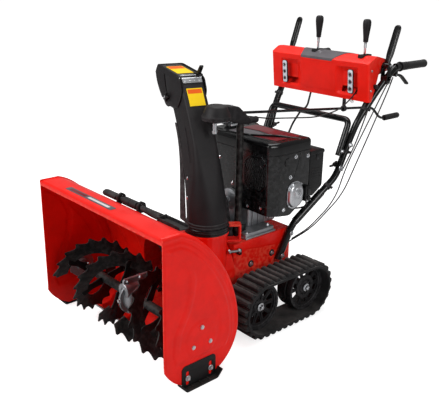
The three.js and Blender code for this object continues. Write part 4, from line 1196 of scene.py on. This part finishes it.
def vent():
    """The eight sided louvre in the front of the cover: a raised frame, a sunken back and slanted slats."""
    outline = [(72, 503), (72, 574), (90, 591), (151, 600), (172, 582), (172, 507), (149, 482), (90, 482)]
    outer = softened(outline, 6, 3)
    inner = softened(inset(outline, 7), 5, 3)
    frame_ring = plate("y", outer, FRONT - 5, FRONT + 1, 1.6, [inner])
    slat = plate("y", annulus(-2.4, 2.4, -80, 80), FRONT - 3.6, FRONT + 0.5, 0.9)
    slats = [moved(slat, at(122 + k * 10.5, 0, 541) @ turn("Y", -28)) for k in range(-6, 8)]
    mask = plate("y", inset(outline, 5), FRONT - 20, FRONT + 20, 0.01)
    grill = carved(merged(*slats), mask, operation="INTERSECT")
    backing = plate("y", inset(outline, 6), FRONT - 0.8, FRONT + 0.6, 0.2)
    piece("engine_vent", [(merged(frame_ring, grill), gloss_black), (backing, rubber)], gloss_black)
    # A thin chrome sliver on the vent frame's top right corner: a painted highlight where the frame catches
    # the light.
    glint_sliver = plate("y", [(150, 572), (164, 590), (170, 584), (158, 566)], FRONT - 5.4, FRONT - 4.4, 0.3)
    piece("vent_painted_highlight", glint_sliver, chrome)
    spots = [(87, FRONT, 407), (152, FRONT, 416), (2, FRONT, 475), (-70, FRONT, 560), (-70, FRONT, 420)]
    side = [(SIDE, 710, 597), (SIDE, 686, 525), (SIDE, 657, 408), (SIDE, 775, 590)]
    screws = merged(placed(merged(pan_screw(5.2), washer(6.4, 1)), "y", spots),
                    placed(hex_bolt(5.4, 4.4, 1.4), "x", side))
    piece("cover_screws", screws, chrome)


def side_details():
    moon = [(671 + 17 * math.cos(t), 582 + 17 * math.sin(t)) for t in np.linspace(1.2, 5.0, 14)]
    moon += [(675 + 11 * math.cos(t), 582 + 12.5 * math.sin(t)) for t in np.linspace(4.8, 1.4, 12)]
    crescent = plate("x", moon, SIDE - 1, SIDE + 2.2, 0.8)
    seam = tube([(SIDE + 0.2, 735, 606), (SIDE + 0.2, 722, 560), (SIDE + 0.2, 706, 520)], 0.9, 6, bend=30)
    side = softened([(790.6, 441), (812, 425), (866.6, 459), (866.6, 601), (790.6, 601)], 10, 5)
    box = plate("x", side, 96, 199.4, 5.0, resolution=3)
    lid = plate("x", softened([(788, 603), (862, 603), (868, 597), (868, 588), (788, 588)], 3, 3), 94.5,
                200.6, 1.6)
    latch = brick((196, 201.6), (822, 838), (566, 588), 1.4)
    grill = [plate("x", [(800, z), (852, z), (852, z + 3), (800, z + 3)], 198.6, 200.6, 0.6)
             for z in (500, 510, 520, 530)]
    piece("rear_box", merged(box, lid, latch, *grill), shiny_plastic, "chassis", ["rear_cover"], angle=30)
    piece("cover_relief", merged(crescent, seam), gloss_black)


def starter():
    """The electric starter under its pressed shield, with the switch box beside it."""
    y, z = 712, 455
    barrel = spun([(0, 98), (36, 98), (38, 100), (38, 204), (0, 204)], 48, "x", 0, y, z)
    outline = rounded(y - 40, y + 40, z - 52, z + 50, 38, 10)
    cap = loft([[(SIDE + 0.4 + h, *(Vector(p) - Vector((y, z))) * s + Vector((y, z))) for p in outline]
                for h, s in ((0, 1.0), (2, 1.0), (2.4, 0.93), (9, 0.90), (13, 0.82), (15.4, 0.66))])
    boss = spun([(0, 214), (15, 214), (14, 217), (8, 219.6), (4, 219.8), (4, 217), (0, 217)], 32, "x", 0, y
                + 4, z + 6)
    dish = spun([(18, 214.4), (24, 214.4), (23, 216.8), (19, 216.8)], 40, "x", 0, y + 4, z + 6, closed=True)
    rim = plate("x", outline, SIDE + 0.2, SIDE + 2.2, 0.8)
    screws = placed(hex_bolt(3.6, 3, 1.2), "x", [(SIDE + 2.4, y - 30, z - 38),
                                                 (SIDE + 2.4, y + 30, z + 36)])
    piece("starter_shield", merged(barrel, cap, boss, dish, rim, screws), steel, "chassis",
          ["starter_motor"])
    switch = merged(brick((SIDE - 2, SIDE + 14), (760, 786), (420, 478), 3),
                    brick((SIDE + 12, SIDE + 18), (766, 780), (448, 470), 2),
                    spun([(0, 0), (8, 0), (8, 7), (6, 9), (0, 9)], 24, "x", SIDE + 13, 773, 434))
    prongs = placed(hex_bolt(2.4, 3, 1.1), "x", [(SIDE + 14, 764, 424), (SIDE + 14, 782, 424)])
    cord = tube([(SIDE + 4, 773, 422), (SIDE + 6, 776, 398), (170, 770, 380), (120, 752, 372)], 3.2, 10,
                bend=20)
    piece("starter_switch", [(merged(switch, cord), shiny_plastic), (prongs, steel)], shiny_plastic)


def block():
    """Crankcase, finned barrel and the cast foot on the frame."""
    post_way = spun(disc(23.8, 290, 350), 32, "z", 80, 547)
    post_foot = brick((57.2, 102.8), (530.2, 575.8), (290, 307), 0.1, 1)
    foot = [carved(brick((-120, 137.6), (536.4, 689.6), (300.5, 307), 2), post_way, post_foot),
            carved(brick((-115, 132), (542, 685), (306, 321.6), 4), post_way, post_foot),
            *[brick((x - 9, x + 9), (538, 566), (305, 318), 3) for x in (-98, 0, 124)]]
    case = brick((-82, 84), (596, 742), (318, 476), 9, 3)
    ribs = [brick((-86, 88), (y - 2, y + 2), (322, 392), 1.2) for y in (616, 646, 676, 706)]
    nose = spun([(13, 0), (30, 0), (40, 5), (40, 26), (13, 26)], 40, "back", 0, 570, 415, closed=True)
    fins = [brick((x - 1.4, x + 1.4), (608, 704), (400, 504), 1) for x in range(-170, -88, 8)]
    barrel = brick((-172, -82), (618, 694), (410, 494), 4)
    spark = spun([(0, 0), (8, 0), (8, 12), (5, 14), (5, 26), (0, 26)], 20, "-x", -170, 656, 462)
    piece("engine_casting", merged(*foot, case, *ribs, nose, barrel, *fins), cast_metal, "chassis",
          ["engine_block"])
    piece("spark_cap", spark, rubber)
    bolts = placed(hex_bolt(6, 6, 1.4), "z", [(x, 552, 317) for x in (-98, 0, 124)]
                   + [(112, 670, 320), (-98, 670, 320)])
    drain = stood(hex_bolt(9, 8, 1.3), "x", 88, 700, 344)
    piece("engine_bolts", merged(bolts, drain), steel)
    carb = merged(brick((-40, 40), (748, 790), (330, 400), 6),
                  spun([(0, 0), (22, 0), (26, 6), (26, 34), (18, 44), (0, 46)], 32, "-z", 60, 760, 372))
    piece("engine_bowl", carb, shiny_plastic)


def recoil():
    profile = [(0, 746), (85.4, 746), (86, 747), (86, 796), (84, 802), (72, 826), (68, 828.4), (0, 829.6)]
    drum = spun(profile, 80, "back", 0, 0, 415)
    slot = slab(rounded(34, 62, -4, 4, 3.9), 826.5, 833, 0.4)
    slots = [stood(moved(slot, turn("Z", 36 * k)), "back", 0, 0, 415) for k in range(10)]
    drum = carved(drum, *slots)
    cap = spun([(0, 828), (24, 828), (24, 829.2), (21, 829.8), (0, 829.9)], 48, "back", 0, 0, 415)
    bolts = placed(hex_bolt(4.5, 4, 1.3), "back", [(78 * math.cos(t), 800, 415 + 78 * math.sin(t))
                                                   for t in (0.5, 2.2, 3.8, 5.4)])
    guide = spun([(5, 828), (11, 826), (12, 830), (5, 831)], 24, "back", -40, 0, 470, closed=True)
    piece("recoil_drum", merged(drum, cap, guide), gloss_black, "chassis", ["recoil_housing"])
    piece("recoil_bolts", bolts, steel)
    stem = spun([(0, 832), (5, 832), (6, 836), (6, 850), (0, 850)], 20, "back", -40, 0, 470)
    grip = plate("y", rounded(-66, -14, 463, 477, 6.5, 6), 846, 862, 5.0, resolution=3)
    piece("recoil_pull", merged(stem, grip), grip_rubber, "recoil_grip", ["recoil_handle"])


def tank():
    x0, x1 = -192, -94
    outline = rounded(x0, x1, 541, 649, 22, 6)
    body = plate("y", outline, 601, 829, 9.0, resolution=4)
    seam = plate("y", rounded(x0, x1, 592, 598, 2, 3), 603, 827, 1.0)
    neck = spun([(0, 640), (24, 640), (24, 654), (22, 655), (0, 655)], 40, "z", -142, 715)
    straps = [plate("y", rounded(x0 - 1.4, x1 + 0.6, 539, 650.6, 22, 6), y, y + 18, 0.6,
                    [rounded(x0 + 1, x1 - 1, 542, 648, 20, 6)]) for y in (640, 776)]
    stay = [brick((-168, -112), (y, y + 16), (500, 542), 2) for y in (640, 776)]
    piece("tank_shell", merged(body, seam, neck, *straps, *stay), gloss_black, "chassis", ["fuel_tank"])
    knurl = lathe([(0, 655.5), (26, 655.5), (28, 657), (28, 672), (26, 675), (20, 676), (0, 676)], 72,
                  wobble=lambda angle, i: 0.9 * math.copysign(1, math.sin(18 * angle))
                  if i in (2, 3) else 0)
    piece("tank_cap", stood(knurl, "z", -142, 715), black_plastic, "fuel_cap", ["fuel_cap"])


def muffler():
    box = plate("x", rounded(706, 800, 424, 520, 26, 6), -168, -100, 3.0)
    seam = plate("x", rounded(704.4, 801.6, 421, 523, 27, 6), -136, -131, 1.0)
    holes = [circle(y, z, 4.2, 14) for y in range(720, 792, 14) for z in range(438, 512, 14)]
    guard = plate("x", rounded(702, 804, 419, 525, 22, 6), -172, -169.6, 0.6, holes)
    legs = [brick((-171, -165), (y - 5, y + 5), (z - 5, z + 5), 1.2) for y in (712, 794)
            for z in (430, 514)]
    pipe = tube([(-110, 716, 470), (-86, 700, 470), (-80, 690, 462)], 12, 16, bend=12)
    outlet = spun(annulus(7, 11, 0, 18), 24, "back", -134, 798, 452, closed=True)
    piece("muffler_box", merged(box, seam, pipe, outlet, *legs), cast_metal, "chassis", ["muffler"])
    piece("muffler_guard", guard, black_paint)


def belt_guard():
    carry("belt_cover", black_plastic, bevel=2.0)
    ribs = [plate("y", [(x - 2, 330), (x + 2, 330), (x + 2, 372), (x - 2, 372)], 485.6, 489, 0.6)
            for x in (-24, 0, 24)]
    screws = placed(pan_screw(4.6), "y", [(-50, 488, 340), (50, 488, 340), (0, 488, 452)])
    piece("belt_guard_details", [(merged(*ribs), black_plastic), (screws, steel)], black_plastic)


engine_cover()
vent()
side_details()
starter()
block()
recoil()
tank()
muffler()
belt_guard()


# ---- Handles and controls ---------------------------------------------------------------------------

GRIP_X, GRIP_Z = middle("left_grip").x, middle("left_grip").z
GRIP_TUBE = 13.0
LEVER_X = {"speed_lever": -42, "deflector_lever": 186}
CLUTCH_PIN = (GRIP_X, 1142, 888)
TRIGGER_PIN = (GRIP_X, 1196, 849)
TUBE = [(154.5, 690, 188), (157, 760, 318), (186, 900, 436), (200, 942, 478), (206, 1000, 610),
        (215, 1030, 684), (236, 1110, 796), (GRIP_X, 1150, 842), (GRIP_X, 1196, GRIP_Z),
        (GRIP_X, 1392, GRIP_Z)]


def handles():
    bar = tube(TUBE, GRIP_TUBE, 24, bend=34)
    clamp = brick((GRIP_X - 15, GRIP_X + 15), (1130, 1154), (820, 850), 3)
    ear = softened([(1130, 832), (1154, 832), (1154, 888), (1148, 898), (1136, 898), (1130, 888)], 5, 4)
    ears = [plate("x", ear, x, x + 2.7, 0.7) for x in (GRIP_X - 15, GRIP_X + 12.3)]
    ear = softened([(1187, 880), (1205, 880), (1204, 846), (1196, 840), (1188, 846)], 4, 3)
    ears += [plate("x", ear, x, x + 3, 0.7) for x in (GRIP_X - 11, GRIP_X + 8)]
    perch = spun(annulus(12.8, 14.4, 0, 26), 32, "back", GRIP_X, 1198, GRIP_Z, closed=True)
    sleeve = tube([(160, 768, 325), (183, 886, 424)], 15.2, 24)
    both("handle_bar", merged(bar, clamp, *ears, perch, sleeve), gloss_black, "chassis", ["*_handle_tube"],
         30)
    low_bolts = placed(merged(washer(9.5, 1.8), hex_bolt(6.4, 6, 1.15)), "x",
                       [(168.4, 700, 206), (170, 742, 286)])
    pins = merged(*[spun([(0, -17.5), (4.6, -17.5), (4.6, -15), (3.4, -15), (3.4, 15), (4.8, 15),
                          (4.8, 17.6), (0, 18.4)], 16, "x", *CLUTCH_PIN),
                    spun([(0, -12.5), (4, -12.5), (4, -11), (3, -11), (3, 11), (4, 11), (4, 12.6), (0, 13)],
                         16, "x", *TRIGGER_PIN)])
    both("handle_bolts", merged(low_bolts, pins), steel)

    wing = softened([(2, 0), (20, 7), (23, 15), (16, 19), (2, 10)], 4, 3)
    wing = moved(slab(wing, -2.4, 2.4, 1.2), turn("X", 90))
    knob = merged(lathe([(0, 0), (9, 0), (9, 6), (7, 12), (0, 13)], 24), wing, moved(wing, turn("Z", 180)))
    knob = stood(knob, "-x")
    knobs = [moved(knob, at(x, y, z) @ turn("X", 20)) for x, y, z in ((187, 956, 520), (191, 1000, 606))]
    both("wing_knobs", merged(*knobs), black_plastic)
    head = merged(washer(10, 1.8), moved(hex_bolt(7.5, 6.5, 1.15), at(0, 0, 1.2)))
    both("wing_bolts", placed(head, "x", [(213, 952, 513), (218, 996, 597)]), steel)

    grip_shape = [(15.0, 0), (18.4, 0), (19, 1.5), (19, 4), (16.2, 5.5)]
    low, high = box_mm("left_grip")
    length = high.y - low.y
    for k in range(7):
        place = 8 + k * 6
        grip_shape += [(16.0, place), (16.0, place + 3.2), (14.8, place + 4), (14.8, place + 5.2)]
    grip_shape += [(15.4, 52), (15.4, length - 16), (16, length - 12), (16, length - 4), (13, length - 0.8),
                   (8, length), (0, length)]
    grip_shape += [(0, length - 3), (14.6, length - 6), (14.6, 2)]
    both("grip_sleeve", spun(grip_shape, 44, "back", GRIP_X, low.y, GRIP_Z), grip_rubber, "chassis",
         ["*_grip"])

    brace = tube([(-200, 948, 560), (-200, 1001, 690), (200, 1001, 690), (200, 948, 560)], 11.8, 24,
                 bend=26)
    piece("brace_bar", brace, gloss_black, "chassis", ["handle_brace"])
    piece("brace_bolts", pair(stood(hex_bolt(5.5, 5, 1.3), "x", 212, 956, 578)), steel)


def levers():
    """Clutch paddles over the grips and the small steering triggers under them."""
    lean = -19.9
    section = rounded(-15, 15, -6, 6, 5.9, 6)
    levels = ((-13, 0.45, 0.5), (-9, 0.72, 0.8), (-2, 0.8, 0.83), (24, 0.8, 0.83), (38, 0.96, 0.95),
              (48, 1, 1), (132, 1, 1), (145, 0.93, 0.96), (151, 0.72, 0.85), (154.6, 0.36, 0.5))
    paddle = loft([[(a * wide, b * deep, z) for a, b in section] for z, wide, deep in levels])
    boss = spun(disc(8.4, -12, 12), 28, "x")
    groove = tube([(0, -5.6, 50), (0, -5.6, 132)], 1.4, 8)
    lever = moved(merged(paddle, boss, groove), at(*CLUTCH_PIN) @ turn("X", lean))
    both("clutch_paddle", lever, gloss_black, "*_clutch", ["*_clutch_lever"])
    path = [TRIGGER_PIN, (GRIP_X, 1238, 844), (GRIP_X, 1287, 807)]
    blade = tube(path, 4.4, section=rounded(-1.9, 1.9, -1.0, 1.0, 0.8, 4), bend=18)
    hub = spun(disc(6.4, -7.4, 7.4), 24, "x", *TRIGGER_PIN)
    both("trigger_blade", merged(blade, hub), black_paint, "*_trigger", ["*_steering_trigger"])


def ramp(value, low, high):
    """How far a value is from one limit to another, from 0 to 1."""
    return min(1.0, max(0.0, (value - low) / (high - low)))


def console_front(x, z):
    """Y of the sloping front face at a place, with its sunk outer fields and their slanted borders."""
    across = abs(x)
    inside = ramp(z, 880, 868) * ramp(z, 774, 786)
    sunk = -1.5 + 16.0 * ramp(across, 88, 116)
    return 1046 - 16 * (z - 756) / 144 + sunk * ramp(across, 196, 186) * inside


def console_shell(half):
    """The housing in facets, and the room inside it that is cut from it to hollow it."""
    def ring_at(y, z):
        wide = half if y < 1070 else half - (half - 222) * ramp(y, 1070, 1130)
        return [(x / half * wide, y, z) for x in xs]

    steps = (0, 40, 86, 88, 95, 102, 109, 116, 117, 135, 150, 165, 180, 186, 188, 194, 196, 214, 232, 240,
             244, half)
    xs = sorted({side * x for x in steps for side in (-1, 1)})
    heights = (757, 760, 766, 772, 776, 780, 784, 800, 820, 840, 860, 874, 878, 882, 886, 892, 897, 900)
    rows = [[(x, console_front(x, z) + max(0, abs(x) - half + 6) ** 2 * 0.12, z) for x in xs]
            for z in heights]
    roof = [(1034, 903.6), (1044, 910), (1058, 917.6), (1066, 921.8), (1074, 924), (1092, 924), (1130, 916),
            (1170, 907.6), (1190, 903.4), (1196, 900)]
    rear = [(1196, 890), (1196, 868), (1188, 864), (1130, 852), (1096, 805), (1062, 758)]
    rows += [ring_at(y, z) for y, z in roof + rear]
    corners, faces = grid([*rows, rows[0]])
    count, wide = len(rows), len(xs)
    faces.append(tuple(r * wide for r in reversed(range(count))))
    faces.append(tuple(r * wide + wide - 1 for r in range(count)))
    inner = [(1052, 762), (1060, 762), (1126, 858), (1190, 870), (1190, 897), (1092, 918), (1072, 917),
             (1062, 908)]
    return (corners, faces), plate("x", inner, -214, 214, 0.01)


def console():
    """The console, its grey panel with blank inlays, and what is fixed to it."""
    half = box_mm("console")[1].x
    slots = [brick((x - 7, x + 7), (1054, 1106), (880, 960), 3) for x in LEVER_X.values()]
    body, room = console_shell(half)
    piece("console_shell", carved(body, room, *slots), red_plastic, "chassis", ["console"], angle=24)
    bezels = [slab(rounded(x - 12, x + 12, 1052, 1112, 6), 914, 927.2, 0.7,
                   [rounded(x - 7, x + 7, 1055.5, 1106, 4)]) for x in LEVER_X.values()]
    piece("lever_bezels", merged(*bezels), black_plastic)
    bent = [(1032.2, 893, -86, 70), (1030.6, 898, -86, 72), (1032, 903, -87, 76), (1044, 910.6, -92, 84),
            (1058, 918.4, -98, 96), (1066, 922.6, -102, 104), (1074, 924.6, -106, 110),
            (1092, 924.6, -112, 118), (1130, 916.8, -112, 134), (1176, 907.2, -112, 140)]
    rows = [[(left + (right - left) * k / 12, y, z) for k in range(13)] for y, z, left, right in bent]
    panel = carved(thick(*grid(rows), -1.2), slots[0])
    inlays = []
    for low, high in ((-104, -10), (4, 64), (74, 128)):
        rows = [[(x, y, 924.9 - 0.209 * (y - 1092)) for x in (low, (low + high) / 2, high)]
                for y in (1118, 1140, 1168)]
        inlays.append(thick(*grid(rows), -1.6))
    piece("console_panel", [(panel, grey_label), (merged(*inlays), pale_label)], grey_label)
    screws = placed(pan_screw(4.2), "x", [(half - 0.4, 1056, 800), (half - 0.4, 1052, 874)])
    piece("console_screws", pair(screws), steel)
    knob = spun([(0, 0), (9, 0), (9, 10), (6, 14), (0, 14)], 24, "x", 238, 1090, 812)
    piece("console_knobs", pair(knob), black_plastic)
    stays = [tube([(s * 214, 1036, 700), (s * 218, 1062, 745), (s * 222, 1100, 800)], 7, 16, bend=20)
             for s in (1, -1)]
    piece("console_stays", merged(*stays), gloss_black)


def headlamps():
    """A strip with three round lamps, in a dark bezel, on each side of the console's front."""
    place = at(168, 1030.4, 828) @ turn("X", 6.3)
    body = plate("y", rounded(-11, 11, -44, 44, 7, 6), -2.6, 3.6, 1.4)
    bezel = plate("y", rounded(-13, 13, -46, 46, 8, 6), -1.4, 3.6, 1.2,
                  [rounded(-10.4, 10.4, -43.4, 43.4, 7, 6)])
    lamps = [(0, 0, z) for z in (-27, 0, 27)]
    cups = placed(lathe([(7.0, 2.2), (9.4, 2.2), (9.4, 3.4), (7.6, 3.6)], 36, closed=True), "y", lamps)
    bulbs = placed(lathe([(0, 1.8), (6.9, 1.8), (6.2, 3.0), (3.4, 3.6), (0, 3.7)], 28), "y", lamps)
    looks = ((body, lens), (bezel, shiny_plastic), (cups, chrome), (bulbs, dark_cast))
    parts = [(moved(mesh, place), look) for mesh, look in looks]
    both("lamp_strip", parts, lens, "chassis", ["*_headlamp"])


def shift_levers():
    for name, x in LEVER_X.items():
        stem = spun([(0, 866), (5, 866), (4.5, 900), (4.5, 950), (5.4, 952), (5.4, 976), (0, 976)], 24, "z",
                    x, 1080)
        pivot = spun(disc(8, -6, 6), 24, "x", x, 1080, 872)
        piece(f"{name}_stem", merged(stem, pivot), chrome, name, [name])
        knob = spun([(4.6, 972), (8.6, 972), (9.4, 974), (10.4, 990), (14.4, 1024), (15.5, 1036),
                     (15.2, 1046), (12.6, 1053), (7, 1055.6), (0, 1056), (0, 1040), (4.6, 1038)], 40, "z",
                    x, 1080)
        piece(f"{name}_knob", knob, black_plastic, name)


def cables():
    """Control cables, the linkage rods behind the tank, and the spring under the console."""
    runs = [[(238, 1192, 842), (242, 1150, 800), (246, 1040, 660), (232, 960, 520), (238, 900, 400),
             (200, 800, 300), (166, 748, 262)], [(242, 1196, 838), (250, 1160, 792), (254, 1060, 640),
                                                 (250, 990, 520), (248, 930, 420), (206, 810, 300),
                                                 (160, 738, 250)],
            [(228, 1100, 780), (226, 1060, 690), (226, 1010, 590), (214, 960, 500)],
            [(-238, 1192, 842), (-242, 1150, 800), (-240, 1040, 660), (-232, 960, 520), (-222, 900, 420),
             (-176, 800, 320), (-150, 740, 270)]]
    piece("control_cables", merged(*[tube(path, 2.4, 10, bend=70, steps=8) for path in runs]), rubber)
    rods = [tube([(-42, 1076, 862), (-44, 1068, 800), (-46, 1040, 700), (-46, 1000, 684), (-48, 960, 640),
                  (-50, 860, 470), (-50, 790, 320), (-50, 750, 292)], 4, 12, bend=14),
            tube([(186, 1076, 862), (184, 1060, 790), (150, 1000, 720), (120, 900, 700), (60, 700, 712),
                  (40, 560, 740)], 2.6, 10, bend=40)]
    piece("linkage_rods", merged(*rods), black_paint)
    springs = [coil((140, 1096, 736), (130, 1060, 770), 5, 9),
               coil((238, 1188, 836), (240, 1164, 812), 4.2, 7),
               coil((-238, 1188, 836), (-240, 1164, 812), 4.2, 7)]
    piece("return_springs", merged(*springs), steel)
    eye = spun(annulus(6.4, 12, -5, 5), 28, "back", 126.6, 1056, 716.4, closed=True)
    hanger = brick((120, 133), (1052, 1060), (727, 762), 2)
    piece("crank_eye", merged(eye, hanger), black_plastic)
    band = lathe(annulus(13.4, 15.2, -6, 6), 28, closed=True)
    clip = merged(band, brick((13, 26), (-3, 3), (-5, 5), 1.4))
    places = ((190, 908, 444, 40), (204, 985, 572, 65), (222, 1060, 728, 60))
    clips = [moved(clip, at(x, y, z) @ turn("X", lean - 90)) for x, y, z, lean in places]
    piece("cable_clips", pair(merged(*clips)), black_plastic)


handles()
levers()
console()
headlamps()
shift_levers()
cables()


# ---- Floor, light and camera ------------------------------------------------------------------------

AZIMUTH = 48.15


def stage():
    """A floor that curves up at the back, and glows to the camera alone, so that it reads as white."""
    floor = surface("floor", (206, 206, 206), 0.8, tone=0.01, grain=60, bump=0.02)
    tree = floor.node_tree
    shader = tree.nodes["Principled BSDF"]
    seen = node(tree, "ShaderNodeLightPath").outputs["Is Camera Ray"]
    glow = node(tree, "ShaderNodeMath", {"operation": "MULTIPLY"}, i0=seen, i1=0.75).outputs[0]
    tree.links.new(glow, shader.inputs["Emission Strength"])
    shader.inputs["Emission Color"].default_value = (1, 1, 1, 1)
    reach, back = 9.0, 6.0
    section = [(-reach, 0.0), (back - 2.0, 0.0)]
    section += [(back - 2.0 + 2.0 * math.sin(t), 2.0 - 2.0 * math.cos(t))
                for t in np.linspace(0.1, math.pi / 2, 12)]
    section += [(back, 7.0)]
    rows = [[(x, y, z) for x in (-reach, reach)] for y, z in section]
    corners, faces = grid(rows)
    data = bpy.data.meshes.new("floor")
    data.from_pydata(corners, [], faces)
    data.materials.append(floor)
    data.shade_smooth()
    thing = bpy.data.objects.new("floor", data)
    thing.rotation_euler = (0, 0, math.radians(AZIMUTH))
    bpy.context.scene.collection.objects.link(thing)


def softbox(name, place, aim, size, watts):
    light = bpy.data.lights.new(name, "AREA")
    light.shape = "RECTANGLE"
    light.size, light.size_y = size
    light.energy = watts
    thing = bpy.data.objects.new(name, light)
    thing.location = place
    thing.rotation_euler = (Vector(aim) - Vector(place)).to_track_quat("-Z", "Y").to_euler()
    bpy.context.scene.collection.objects.link(thing)


def camera():
    """The camera that was fitted to the photo."""
    azimuth, elevation, roll = (math.radians(v) for v in (AZIMUTH, 19.19, 0.91))
    level_share = math.cos(elevation)
    back = Vector((math.sin(azimuth) * level_share, -math.cos(azimuth) * level_share, math.sin(elevation)))
    right = Vector((math.cos(azimuth), math.sin(azimuth), 0))
    up = back.cross(right)
    turned_right = right * math.cos(roll) + up * math.sin(roll)
    turned_up = up * math.cos(roll) - right * math.sin(roll)
    data = bpy.data.cameras.new("camera")
    data.lens = 54.56
    thing = bpy.data.objects.new("camera", data)
    place = Matrix((turned_right, turned_up, back)).transposed().to_4x4()
    place.translation = (1.7255, -1.7151, 1.2257)
    thing.matrix_world = place
    bpy.context.scene.collection.objects.link(thing)
    bpy.context.scene.camera = thing


def sky():
    world = bpy.data.worlds.new("studio")
    world.use_nodes = True
    background = world.node_tree.nodes["Background"]
    background.inputs["Color"].default_value = (1, 1, 1, 1)
    background.inputs["Strength"].default_value = 0.26
    bpy.context.scene.world = world


stage()
sky()
softbox("key", (-0.8, -3.4, 2.6), (0, 0, 0.4), (1.6, 1.6), 92)
softbox("side", (3.6, -0.4, 1.9), (0, 0, 0.5), (1.0, 2.0), 46)
softbox("top", (-0.4, 0.4, 3.6), (0, 0, 0.5), (2.6, 2.6), 82)
camera()
bpy.context.scene.view_settings.view_transform = "Standard"
